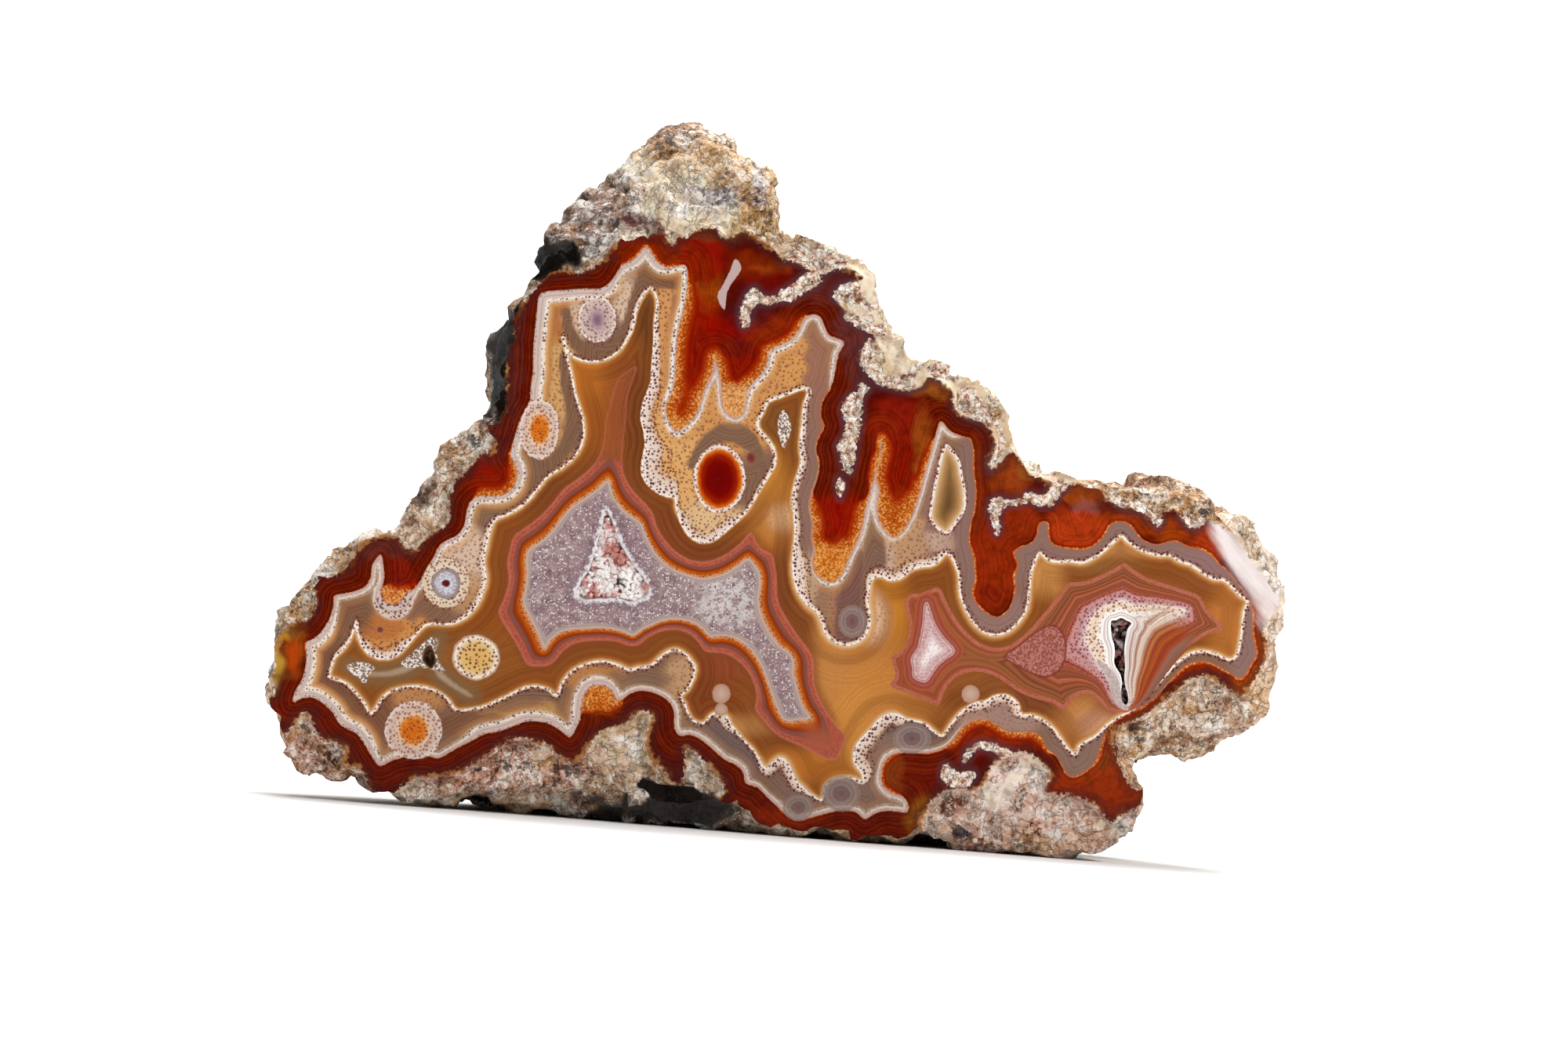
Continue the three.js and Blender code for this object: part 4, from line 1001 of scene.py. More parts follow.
# Widths in pixels: lilac beside the red, a cream stripe after it from 0 to 1, white around the lace, and
# the glow within the lace.
EDGE_WIDTHS = [
    ((0.8, 0.0, 3, 7), 1420, 790, 280, 300, 1.0),
    ((12, 1.0, 3, 10), 695, 440, 34, 120, 1.0),
    ((12, 0.5, 3, 4), 740, 374, 70, 18, 0.9),
    ((10, 0.3, 3, 4), 828, 336, 46, 24, 0.9),
    ((4, 0.7, 3, 4), 866, 440, 34, 130, 1.0),
    ((5, 0.2, 3, 4), 930, 510, 50, 60, 0.9),
    ((10, 0.4, 3, 8), 665, 560, 30, 70, 0.9),
    ((7, 0.8, 3, 6), 640, 640, 70, 30, 0.8),
    ((2, 0.0, 14, 2), 822, 500, 26, 120, 1.0),
    ((2, 0.0, 26, 2), 838, 600, 36, 46, 1.0),
    ((2, 0.0, 11, 3), 895, 680, 70, 34, 1.0),
    ((3, 0.3, 5, 4), 975, 580, 34, 70, 0.8),
    ((6, 0.6, 5, 3), 1000, 480, 66, 44, 0.8),
    ((0.8, 0.0, 5, 5), 1046, 560, 20, 120, 1.0),
    ((2, 0.0, 7, 5), 1024, 640, 26, 130, 1.0),
    ((3, 0.0, 20, 8), 1022, 755, 34, 54, 1.0),
    ((4, 0.3, 4, 12), 1075, 780, 60, 60, 1.0),
    ((3, 0.2, 10, 6), 1150, 720, 60, 40, 1.0),
    ((0.8, 0.0, 3, 6), 1238, 660, 26, 150, 1.0),
    ((0.8, 0.0, 2, 8), 1270, 790, 76, 50, 1.0),
    ((3, 0.0, 14, 10), 1120, 925, 36, 34, 1.0),
    ((3, 0.0, 18, 8), 1100, 965, 24, 34, 0.9),
    ((3, 0.0, 10, 10), 1005, 985, 40, 34, 1.0),
    ((4, 0.0, 12, 8), 935, 918, 24, 18, 0.9),
    ((3, 0.0, 10, 4), 1275, 895, 56, 24, 1.0),
    ((7, 0.0, 3, 7), 840, 850, 70, 30, 0.9),
    ((11, 0.4, 3, 5), 640, 905, 120, 40, 1.0),
    ((11, 0.3, 3, 5), 755, 882, 36, 34, 1.0),
    ((11, 0.9, 3, 6), 450, 900, 90, 70, 0.9),
    ((10, 0.9, 3, 6), 400, 830, 40, 60, 0.9),
    ((19, 0.1, 3, 5), 502, 770, 30, 30, 1.0),
    ((3, 0.1, 11, 5), 492, 832, 60, 22, 1.0),
    ((6, 0.4, 7, 8), 600, 720, 46, 80, 0.9),
]
loose_spots = shaken(face_spots, 16, 8)
band_colours = airbrush(loose_spots, (148, 122, 102, 0), BAND_TINTS)
keep_colour("band_tint", brush(face_spots, band_colours, BAND_STROKES))
keep_colour("inner_tint", airbrush(face_spots, (146, 86, 38, 0), INNER_TINTS, 0.2))
keep_colour("red_tint", airbrush(loose_spots, (100, 14, 3, 0), RED_TINTS))
keep_colour("edge_widths", spray(face_spots, (6, 0.2, 2.2, 6), EDGE_WIDTHS))

# Colours laid over all others at the end: amber glass at the left, and the tail of the brick band.
TOUCHES = [
    ((196, 150, 52), 352, 846, 9, 24, 0.8),
    ((208, 176, 112), 345, 874, 10, 8, 0.8),
    ((112, 84, 40), 366, 806, 16, 10, 0.6),
    ((186, 62, 8), 374, 838, 9, 26, 0.7),
    ((196, 140, 40), 360, 814, 8, 8, 0.7),
    ((96, 60, 24), 362, 862, 14, 4, 0.6),
    ((168, 88, 62), 1046, 941, 28, 15, 0.75),
]
keep_colour("touches", spray(loose_spots, (0, 0, 0, 0), [((*linear(d[0]), 1), *d[1:]) for d in TOUCHES], 0.2))

# How strongly the streaky fan shows right of the slit, and the brick wash around the quartz.
keep_number("fan", spray(face_spots, (0,), [((1,), 1478, 850, 52, 80, 1.0)])[:, 0])
keep_number("wash", spray(face_spots, (1,), [((0.18,), 795, 500, 70, 120, 1.0)])[:, 0])

# The fourth number is how much of the margin is smooth glassy chalcedony instead of broken rock.
RIND_TINTS = [
    ((222, 196, 168, 0), 1000, 600, 1500, 900, 1.0),
    ((255, 238, 202, 0), 860, 220, 140, 100, 1.0),
    ((168, 148, 138, 0), 776, 250, 44, 46, 0.9),
    ((218, 170, 108, 0), 875, 170, 84, 36, 0.9),
    ((224, 186, 120, 0), 965, 240, 64, 74, 0.9),
    ((206, 198, 200, 0), 900, 258, 60, 16, 0.7),
    # Painted shade: grey left of the knob, then black down the upper left side.
    ((110, 90, 92, 0), 760, 285, 60, 30, 0.6),
    ((28, 22, 18, 0), 635, 450, 40, 130, 1.0),
    ((22, 18, 15, 0), 695, 335, 50, 40, 1.0),
    ((225, 196, 160, 0.6), 1080, 350, 100, 70, 0.9),
    ((214, 186, 148, 1.0), 1150, 430, 50, 46, 0.9),
    ((216, 186, 144, 0.9), 1210, 480, 80, 46, 0.9),
    ((210, 180, 140, 1.0), 1290, 560, 36, 66, 1.0),
    ((190, 160, 130, 0.8), 1340, 610, 46, 18, 0.8),
    ((196, 146, 84, 0), 1500, 630, 110, 50, 1.0),
    ((238, 214, 184, 0), 1600, 700, 60, 70, 0.9),
    ((238, 230, 224, 0.6), 1628, 760, 26, 60, 0.9),
    ((190, 146, 96, 0), 1530, 955, 130, 36, 0.9),
    ((206, 176, 152, 0), 1530, 910, 80, 40, 0.9),
    ((244, 216, 190, 0.3), 1625, 850, 34, 80, 0.9),
    ((240, 204, 188, 0), 1320, 1040, 180, 70, 1.0),
    ((186, 130, 98, 0), 1270, 1078, 60, 18, 0.8),
    ((224, 168, 146, 0), 640, 970, 160, 46, 0.9),
    ((190, 142, 126, 0), 420, 970, 100, 50, 0.9),
    ((236, 212, 178, 0), 800, 945, 70, 50, 0.9),
    # Painted shadow under the stone.
    ((46, 38, 34, 0), 840, 1035, 130, 30, 1.0),
    ((204, 164, 100, 0), 370, 780, 50, 60, 0.7),
    ((120, 80, 68, 0), 440, 770, 50, 50, 0.6),
    ((214, 184, 156, 0), 560, 610, 70, 70, 0.8),
]
# Single pieces that stand out in the rock: slabs, red laths and grey glassy patches. The dark strokes are
# painted shade: in the gaps between pieces, at the upper left and under the stone.
RIND_STROKES = [
    ((250, 234, 222, 0.55), [(1268, 1028, 9), (1290, 1000, 11), (1310, 970, 9)]),
    ((228, 178, 160, 0.5), [(1262, 988, 7), (1284, 970, 9), (1302, 960, 6), (1326, 972, 8)]),
    ((206, 200, 200, 0.5), [(1256, 1002, 6), (1262, 1016, 7)]),
    ((172, 84, 62, 0.55), [(1310, 1058, 4), (1330, 1050, 7), (1350, 1045, 6)]),
    ((172, 80, 58, 0.55), [(1218, 1048, 4), (1234, 1054, 6), (1250, 1068, 4)]),
    ((236, 190, 160, 0.5), [(1388, 1044, 6), (1406, 1054, 8)]),
    ((92, 66, 62, 0.5), [(1306, 1010, 3), (1299, 1024, 4), (1300, 1036, 3)]),
    ((66, 54, 58, 0), [(1222, 1062, 8), (1236, 1065, 5)]),
    ((226, 220, 212, 0), [(1425, 1055, 12), (1432, 1060, 12)]),
    ((186, 142, 130, 0), [(1208, 1032, 10), (1226, 1028, 11)]),
    ((194, 188, 194, 0), [(888, 240, 6), (912, 252, 9), (936, 250, 8), (950, 232, 5)]),
    ((186, 180, 184, 0), [(966, 256, 9), (972, 232, 8), (964, 205, 5)]),
    ((220, 176, 112, 0), [(948, 250, 5), (946, 222, 8), (940, 200, 5)]),
    ((216, 170, 110, 0), [(905, 165, 6), (922, 176, 8), (934, 192, 6)]),
    ((120, 92, 72, 0), [(850, 172, 5), (872, 168, 7), (886, 176, 5)]),
    ((128, 102, 104, 0), [(778, 262, 8), (800, 256, 7), (820, 246, 5)]),
    ((96, 34, 30, 0.5), [(796, 274, 7), (812, 284, 10), (836, 290, 9), (852, 296, 5)]),
    ((90, 76, 76, 0), [(738, 300, 10), (760, 310, 10), (748, 322, 8)]),
    ((250, 238, 216, 0), [(806, 960, 9), (820, 935, 8), (838, 922, 6)]),
    ((30, 25, 22, 0), [(820, 1000, 8), (850, 1012, 12), (880, 1014, 12)]),
    ((90, 56, 50, 0), [(458, 990, 5), (470, 1000, 5)]),
]
behind = (places[:, 1] - FACE_Y) / PX
loose_spots = shaken(all_spots, 26, 24, behind)
rind_colours = airbrush(loose_spots, (222, 198, 168, 0), RIND_TINTS)
rind_colours = brush(shaken(all_spots, 12, 4), rind_colours, RIND_STROKES)
# The stains and the painted shade seen from the front end further back, where one dull tan covers the rind.
DULL_TAN = linear((222, 196, 168)) * 0.6
far_back = ease(behind, 100, 200)[:, None]
rind_colours[:, :3] = rind_colours[:, :3] * (1 - far_back) + DULL_TAN * far_back
keep_colour("rind_tint", rind_colours, slice(None))
print("airbrushed", len(BAND_TINTS) + len(INNER_TINTS) + len(RED_TINTS) + len(RIND_TINTS), "soft discs")

# %% [markdown]
# ## Wiring a finish
# The finishes are built from nodes. A few short helpers add a node, join it to the ones before it and give
# back its output, so that a finish reads like a recipe: a ramp over a distance, a speckle, a mix.

# %% Helpers for nodes


def join(target, value):
    """Feeds a socket from another socket, or sets it. Colours are given as seen on a screen."""
    if isinstance(value, bpy.types.NodeSocket):
        tree.links.new(value, target)
    elif hasattr(target.default_value, "__len__") and len(value) == 3 and len(target.default_value) == 4:
        target.default_value = (*linear(value), 1)
    else:
        target.default_value = value


def add_node(kind, feeds, **settings):
    """Adds a node, with its settings and what feeds its sockets."""
    made = tree.nodes.new(kind)
    for name, value in settings.items():
        setattr(made, name, value)
    for key, value in feeds.items():
        join(made.inputs[key], value)
    return made


def maths(operation, first, second=0.0):
    """One sum of two values."""
    return add_node("ShaderNodeMath", {0: first, 1: second}, operation=operation).outputs[0]


def plus(first, second):
    """Sum of two values."""
    return maths("ADD", first, second)


def minus(first, second):
    """Difference of two values."""
    return maths("SUBTRACT", first, second)


def ratio(first, second):
    """First value divided by the second."""
    return maths("DIVIDE", first, second)


def larger(first, second):
    """Larger one of two values."""
    return maths("MAXIMUM", first, second)


def of(*shares):
    """Product of two or more values."""
    result = shares[0]
    for share in shares[1:]:
        result = maths("MULTIPLY", result, share)
    return result


def number(name):
    """A number stored on the vertices."""
    return add_node("ShaderNodeAttribute", {}, attribute_name=name).outputs["Fac"]


def tint(name):
    """A colour stored on the vertices, and its fourth number."""
    made = add_node("ShaderNodeAttribute", {}, attribute_name=name)
    return made.outputs["Color"], made.outputs["Alpha"]


def place_on_stone():
    """Place on the object, in metres."""
    return tree.nodes.new("ShaderNodeTexCoord").outputs["Object"]


def cloud(size, detail=3.0, roughness=0.55, offset=(0, 0, 0)):
    """Soft noise with patches of about the given size in millimetres."""
    moved = add_node("ShaderNodeVectorMath", {0: place_on_stone(), 1: offset}, operation="ADD")
    feeds = {"Vector": moved.outputs[0], "Scale": 1000 / size, "Detail": detail, "Roughness": roughness}
    return add_node("ShaderNodeTexNoise", feeds).outputs["Fac"]


def grown(value, start, end, low=0.0, high=1.0):
    """Runs smoothly from low to high as the value goes from start to end."""
    feeds = {"Value": value, "From Min": start, "From Max": end, "To Min": low, "To Max": high}
    return add_node("ShaderNodeMapRange", feeds, interpolation_type="SMOOTHSTEP").outputs["Result"]


def ramp(value, stops, ease_between="LINEAR"):
    """Colour that follows a value through stops of place and colour."""
    low = stops[0][0]
    high = stops[-1][0]
    feeds = {"Value": value, "From Min": low, "From Max": high}
    share = add_node("ShaderNodeMapRange", feeds).outputs["Result"]
    made = add_node("ShaderNodeValToRGB", {"Fac": share})
    made.color_ramp.interpolation = ease_between
    elements = made.color_ramp.elements
    while len(elements) < len(stops):
        elements.new(0.5)
    for element, (place, colour) in zip(elements, stops):
        element.position = (place - low) / (high - low)
    for element, (place, colour) in zip(made.color_ramp.elements, stops):
        element.color = (*linear(colour), 1)
    return made.outputs["Color"]


def mix(share, under, over, way="MIX"):
    """Lays one colour over another."""
    feeds = {0: share, 6: under, 7: over}
    made = add_node("ShaderNodeMix", feeds, data_type="RGBA", blend_type=way)
    return made.outputs[2]


def speckle(spacing, radius):
    """Round dots of uneven size, spacing and radius in millimetres, and one random number for each dot."""
    where = add_node("ShaderNodeSeparateXYZ", {0: place_on_stone()})
    flat = add_node("ShaderNodeCombineXYZ", {0: where.outputs[0], 1: where.outputs[2]})
    feeds = {"Vector": flat.outputs[0], "Scale": 1000 / spacing, "Randomness": 0.9}
    cells = add_node("ShaderNodeTexVoronoi", feeds, voronoi_dimensions="2D")
    tones = add_node("ShaderNodeSeparateColor", {0: cells.outputs["Color"]})
    size = grown(tones.outputs[1], 0, 1, 0.6, 1.3)
    away = ratio(cells.outputs["Distance"], size)
    edge_share = radius / spacing
    return grown(away, edge_share * 1.25, edge_share * 0.7), tones.outputs[0]


def finish(name):
    """The material of that name with its node tree and its shader."""
    material = bpy.data.materials[name]
    material.use_nodes = True
    return material.node_tree, material.node_tree.nodes["Principled BSDF"]


print("helpers ready")

# %% [markdown]
# ## Rind
# The rind is a crust of broken rock and chalky quartz: cream and tan, with grey chips and ochre stains. Its
# cracks, dark specks and blotches are painted shade. The airbrushed tint gives each side its own cast. The same
# colours are used on the broken margin of the face, so they are made by one function that works in both materials.

# %% Rind colour


def strip_of(value, start, end):
    """Share that is 1 between two values and 0 well beyond them."""
    soft = (end - start) * 0.5
    return of(grown(value, start - soft, start), grown(value, end + soft, end))


def rind_colour():
    """Colour of the rough rock, and a height for its fine relief."""
    cast, glassy = tint("rind_tint")
    patches = cloud(2.2, 6.0, 0.68)
    chips = cloud(0.8, 5.0, 0.7, (0.3, 0.1, 0.2))
    stain = cloud(6.0, 4.0, 0.6, (0.5, 0.2, 0.1))
    shadow = cloud(3.4, 6.0, 0.7, (0.7, 0.6, 0.2))
    bend = add_node("ShaderNodeTexNoise", {"Vector": place_on_stone(), "Scale": 450, "Detail": 5})
    bend = add_node("ShaderNodeVectorMath", {0: bend.outputs["Color"], 3: 0.008}, operation="SCALE")
    bent = add_node("ShaderNodeVectorMath", {0: place_on_stone(), 1: bend.outputs[0]}, operation="ADD")
    pieces = add_node("ShaderNodeTexVoronoi", {"Vector": bent.outputs[0], "Scale": 1000 / 2.6})
    borders = add_node("ShaderNodeTexVoronoi", {"Vector": bent.outputs[0], "Scale": 1000 / 2.6}, feature="DISTANCE_TO_EDGE")
    piece_tone = add_node("ShaderNodeSeparateColor", {0: pieces.outputs["Color"]})
    piece_colour = ramp(piece_tone.outputs[0], [
        (0, (206, 150, 130)), (0.18, (236, 214, 194)), (0.34, (244, 234, 220)), (0.5, (206, 176, 140)),
        (0.64, (176, 160, 152)), (0.8, (214, 178, 150)), (1.0, (158, 98, 76)),
    ])
    colour = mix(0.3, cast, piece_colour)
    tone = cloud(2.8, 8.0, 0.74)
    # Painted shade: the dark blotches, specks, cracks and shadow patches below, less where the cast is pale.
    painted_shade_share = grown(cast, 0.75, 0.42, 0.3, 1.0)
    dark_tone = mix(painted_shade_share, (255, 255, 255), ramp(tone, [
        (0.36, (88, 64, 56)), (0.42, (168, 138, 122)), (0.47, (232, 218, 208)), (0.52, (255, 255, 255)),
    ]))
    colour = mix(1.0, colour, dark_tone, "MULTIPLY")
    colour = mix(of(grown(tone, 0.53, 0.58), 0.7), colour, (252, 246, 236))
    colour = mix(of(grown(stain, 0.5, 0.6), 0.4), colour, (206, 152, 88))
    light_specks = grown(chips, 0.56, 0.6)
    colour = mix(of(light_specks, 0.6), colour, (255, 250, 244))
    dark_specks = of(grown(chips, 0.43, 0.39), of(painted_shade_share, 0.75))
    colour = mix(dark_specks, colour, (92, 62, 50))
    crack_shade = of(grown(borders.outputs["Distance"], 0.03, 0.0), of(painted_shade_share, 0.4))
    colour = mix(crack_shade, colour, (84, 58, 48))
    colour = mix(of(grown(shadow, 0.44, 0.39), of(painted_shade_share, 0.85)), colour, (52, 36, 32))
    greys = cloud(2.2, 5.0, 0.65, (0.9, 0.4, 0.3))
    # Where the cast is near black, as in its painted shadow discs, the cast alone shows.
    colour = mix(grown(cast, 0.12, 0.02), colour, cast)
    smooth = mix(grown(patches, 0.4, 0.62), cast, (236, 220, 196))
    smooth = mix(of(grown(greys, 0.5, 0.62), 0.5), smooth, (150, 124, 112))
    clear_share = grown(plus(glassy, minus(patches, 0.5)), 0.35, 0.6)
    colour = mix(clear_share, colour, smooth)
    height = plus(chips, of(cloud(0.35, 3.0, 0.6), 0.5))
    height = plus(height, of(piece_tone.outputs[2], 0.6))
    height = plus(height, grown(borders.outputs["Distance"], 0.0, 0.06))
    return colour, height, clear_share


tree, shader = finish("rough_rind")
colour, height, unused = rind_colour()
join(shader.inputs["Base Color"], colour)
shader.inputs["Roughness"].default_value = 0.75
bump = add_node("ShaderNodeBump", {"Strength": 0.9, "Distance": 0.4 * MM, "Height": height})
join(shader.inputs["Normal"], bump.outputs["Normal"])
for name, stops in (
    ("milky_wall", [(0.3, (150, 120, 118)), (0.5, (214, 200, 198)), (0.7, (240, 232, 230))]),
    ("maroon_wall", [(0.3, (20, 6, 8)), (0.55, (86, 20, 20)), (0.75, (150, 50, 40))]),
    ("brown_wall", [(0.3, (70, 44, 30)), (0.5, (128, 88, 60)), (0.7, (190, 160, 130))]),
):
    tree, shader = finish(name)
    join(shader.inputs["Base Color"], ramp(cloud(0.5, 3.0), stops))
    shader.inputs["Roughness"].default_value = 0.3
print("rind and hollow walls are finished")

# %% [markdown]
# ## Banded agate
# Agate shows its bands as if they lay under a layer of glass. The finish goes from the outside inwards, as
# the stone grew: the red band, the tan and grey bands, the white lace, the amber inner agate, the lining of
# the quartz, and last the chamber at the right. Each step is a ramp over one distance, laid over the
# steps before it where that distance says so. A low roughness gives the polish.

# %% Ragged edges and bands
tree, shader = finish("polished_agate")
wobble = minus(cloud(0.55, 3.0, 0.65), 0.5)
slow = minus(cloud(3.0, 2.0), 0.5)
grit = cloud(0.26, 2.0, 0.6, (0.2, 0.5, 0.4))
grains = grown(grit, 0.42, 0.6)


def ragged(name, amount):
    """A distance whose line is made uneven by some pixels."""
    return plus(number(name), of(wobble, amount * 2))


def bands_share(distance, spacing, drift=6.0):
    """Fine bands between 0 and 1, uneven in width."""
    shifted = plus(distance, of(slow, drift))
    feeds = {"W": shifted, "Scale": 1.6 / spacing, "Detail": 1.0, "Roughness": 0.6}
    lines = add_node("ShaderNodeTexNoise", feeds, noise_dimensions="1D").outputs["Fac"]
    return grown(lines, 0.36, 0.62)


def strip(distance, start, end, soft=1.0):
    """Share that is 1 between two distances and 0 beyond them."""
    return of(grown(distance, start - soft, start), grown(distance, end + soft, end))


rim = ragged("rim", 9.0)
red = ragged("red", 1.6)
lace = ragged("lace", 1.5)
core = ragged("core", 0.8)
brick = ragged("brick", 1.0)
chamber = ragged("chamber", 0.9)
edge_widths = add_node("ShaderNodeAttribute", {}, attribute_name="edge_widths")
width_numbers = add_node("ShaderNodeSeparateColor", {0: edge_widths.outputs["Color"]})
lilac_width = width_numbers.outputs[0]
cream_share = width_numbers.outputs[1]
white_width = width_numbers.outputs[2]
glow_width = edge_widths.outputs["Alpha"]
print("distances read")

# %% Red band
outward = of(red, -1.0)
red_cast, seam = tint("red_tint")
deep_red = ramp(outward, [
    (0, (70, 14, 6)), (1.5, (60, 6, 2)), (4, (128, 26, 5)), (7, (66, 6, 2)), (11, (118, 20, 4)), (16, (78, 8, 2)),
    (22, (132, 28, 6)), (30, (72, 7, 2)), (42, (110, 18, 4)), (60, (70, 9, 4)),
])
seam_width = of(seam, 20.0)
colour = mix(grown(seam, 0.1, 0.8, 0.75, 1.0), deep_red, red_cast)
lined = grown(outward, 44, 24)
colour = mix(of(bands_share(outward, 3.6), lined, 0.38), colour, (42, 3, 1))
rusty_lines = bands_share(plus(outward, 71.0), 5.0)
colour = mix(of(rusty_lines, lined, 0.22), colour, (172, 62, 12))
blotches = grown(cloud(1.4, 5.0, 0.7), 0.42, 0.66)
colour = mix(of(blotches, 0.4), colour, (58, 5, 1))
seam_share = ratio(plus(outward, of(wobble, 8.0)), larger(seam_width, 0.4))
seam_colour = ramp(seam_share, [
    (0, (204, 136, 80)), (0.1, (192, 104, 34)), (0.3, (182, 80, 12)), (0.6, (164, 52, 3)), (0.9, (140, 24, 2)),
    (1.2, (124, 12, 2)),
])
colour = mix(grown(seam_share, 1.3, 0.8), colour, seam_colour)
colour = mix(of(grown(seam, 1.4, 2.2), 0.55), colour, red_cast)
pale_grains = of(grown(seam_share, 0.8, 0.05), grown(grit, 0.5, 0.62))
colour = mix(of(pale_grains, 0.6), colour, (236, 190, 120))
dark_grains = of(grown(seam_share, 1.2, 0.4), grown(grit, 0.47, 0.38))
colour = mix(of(dark_grains, 0.55), colour, (122, 30, 4))
margin = plus(rim, of(slow, 24.0))
# Painted shade: the red darkens to brown within a few pixels of the rough margin.
colour = mix(of(grown(margin, 16, 6), 0.55), colour, (66, 28, 26))
ochre = grown(cloud(3.2, 3.0, 0.6, (0.6, 0.1, 0.8)), 0.47, 0.58, 0.1, 0.8)
colour = mix(of(grown(margin, 5, 0), ochre), colour, (178, 120, 66))
# Painted shade: the agate darkens just outside the caught rock.
near_rock = grown(larger(number("crinkle"), number("rocks")), -10, -2)
colour = mix(of(near_rock, 0.6), colour, (84, 50, 56))
print("red band laid")

# %% Tan and grey bands
band_cast, density = tint("band_tint")
line_share = grown(density, 0.9, 0.1, 0.04, 0.15)
warmer = mix(grown(density, 0.9, 0.1, 0.45, 1.0), (255, 255, 255), (228, 203, 197))
bands = mix(1.0, band_cast, warmer, "MULTIPLY")
bands = mix(of(bands_share(red, 4.0), line_share), bands, (100, 74, 58))
bands = mix(of(bands_share(plus(red, 37.0), 3.4), of(line_share, 0.6)), bands, (206, 184, 166))
dot, dot_tone = speckle(0.52, 0.14)
small_dot, small_tone = speckle(0.44, 0.13)
bands = mix(of(dot, density, 0.75), bands, (124, 74, 66))
lilac_share = ratio(red, larger(lilac_width, 0.6))
lilac = ramp(lilac_share, [
    (0, (140, 92, 86)), (0.08, (200, 178, 172)), (0.4, (206, 184, 174)), (0.5, (176, 150, 140)),
    (0.58, (204, 180, 168)), (0.85, (214, 194, 180)), (1.0, (206, 180, 160)),
])
lilac_cover = of(grown(lilac_share, 1.15, 0.95), grown(lilac_width, 0.8, 3.0))
past_lilac = minus(red, lilac_width)
rust = ramp(past_lilac, [(0, (228, 200, 168)), (4, (216, 166, 112)), (9, (186, 126, 76)), (16, (146, 92, 54))])
bands = mix(of(grown(past_lilac, 16, 7), cream_share), bands, rust)
cream_cover = of(strip(past_lilac, 0, 2, 2.5), cream_share)
bands = mix(cream_cover, bands, (234, 218, 200))
bands = mix(lilac_cover, bands, lilac)
creamy = grown(cream_share, 0.05, 0.4)
bands = mix(of(strip(red, 0, 1.6, 1.0), grown(cream_share, 0.4, 0.05, 0, 0.6)), bands, (176, 96, 66))
white_line = of(strip(past_lilac, -1.4, 0.2, 0.9), of(creamy, 0.65))
bands = mix(white_line, bands, (242, 234, 228))
outside_lace = ratio(of(lace, -1.0), white_width)
outer_lace = ramp(outside_lace, [(0, (232, 216, 206)), (0.6, (222, 198, 182)), (1.0, (206, 170, 138))])
lace_cover = grown(outside_lace, 1.15, 0.7)
bands = mix(lace_cover, bands, outer_lace)
wide_lilac = of(grown(lilac_width, 12, 17), grown(past_lilac, 1, -1))
white_dots = larger(larger(grown(outside_lace, 1.7, 1.2), cream_cover), wide_lilac)
white_dots = of(small_dot, larger(white_dots, of(strip(past_lilac, -1, 2, 1.5), creamy)))
bands = mix(of(white_dots, 0.85), bands, (92, 24, 30))
edge_dots = of(small_dot, strip(red, 0, 2.5, 1.0), creamy)
bands = mix(of(edge_dots, 0.6), bands, (104, 34, 30))
colour = mix(grown(red, -0.6, 0.6), colour, bands)
print("tan and grey bands laid")

# %% Inner agate
inner_cast, inner_density = tint("inner_tint")
inner_cast = mix(1.0, inner_cast, (242, 224, 214), "MULTIPLY")
inner = mix(of(bands_share(number("lace"), 5.0), 0.14), inner_cast, (86, 48, 24))
inner = mix(of(bands_share(plus(lace, 53.0), 7.0), 0.07), inner, (220, 160, 90))
inner_dots = of(dot, of(inner_density, 0.6))
inner = mix(inner_dots, inner, (150, 95, 60))
inside_lace = ratio(lace, glow_width)
glow = ramp(inside_lace, [
    (0, (222, 190, 154)), (0.25, (212, 168, 118)), (0.6, (196, 136, 76)), (1.0, (180, 116, 56)),
])
inner = mix(grown(inside_lace, 1.2, 0.2), inner, glow)
shade = of(strip(inside_lace, 2.2, 3.6, 1.2), 0.3)
inner = mix(shade, inner, (112, 62, 28))
colour = mix(grown(lace, -0.5, 0.5), colour, inner)
colour = mix(of(strip(lace, -0.6, 0.3, 0.9), 0.8), colour, (246, 238, 232))
lace_dots = of(small_dot, strip(lace, -6.0, 0.5, 1.0))
colour = mix(of(lace_dots, 0.75), colour, (92, 24, 30))
print("inner agate laid")

# %% Lens
lens = ragged("lens", 1.6)
lens_colour = ramp(lens, [
    (0, (232, 214, 196)), (2, (206, 170, 128)), (6, (176, 132, 84)), (12, (136, 98, 56)), (18, (104, 74, 44)),
])
colour = mix(strip(lens, -2, 0, 1.2), colour, (236, 222, 212))
colour = mix(of(small_dot, strip(lens, -5, 1, 1.0)), colour, (120, 56, 54))
colour = mix(grown(lens, -0.5, 0.5), colour, lens_colour)

# %% Lining of the quartz
from_core = larger(of(core, -1.0), 0.0)
to_brick = larger(brick, 0.0)
lining_share = ratio(from_core, plus(plus(from_core, to_brick), 0.01))
lining = ramp(lining_share, [
    (0, (212, 160, 128)), (0.1, (204, 132, 82)), (0.2, (190, 98, 30)), (0.3, (172, 72, 10)), (0.41, (144, 48, 7)),
    (0.48, (124, 58, 36)), (0.55, (130, 76, 66)), (0.67, (132, 74, 62)), (0.73, (168, 82, 62)),
    (0.86, (158, 72, 54)), (1.0, (170, 84, 64)),
])
lining_grains = of(grown(lining_share, 0.68, 0.8), grains)
lining = mix(of(lining_grains, 0.35), lining, (200, 116, 92))
wash = mix(0.2, lining, (166, 86, 66))
wash_share = larger(number("wash"), grown(from_core, 34, 22))
lining = mix(grown(from_core, 30, 44), lining, wash)
brown = mix(of(grown(brick, -16, -2), 0.6), colour, (128, 68, 36))
colour = mix(grown(core, -44, -24), colour, brown)
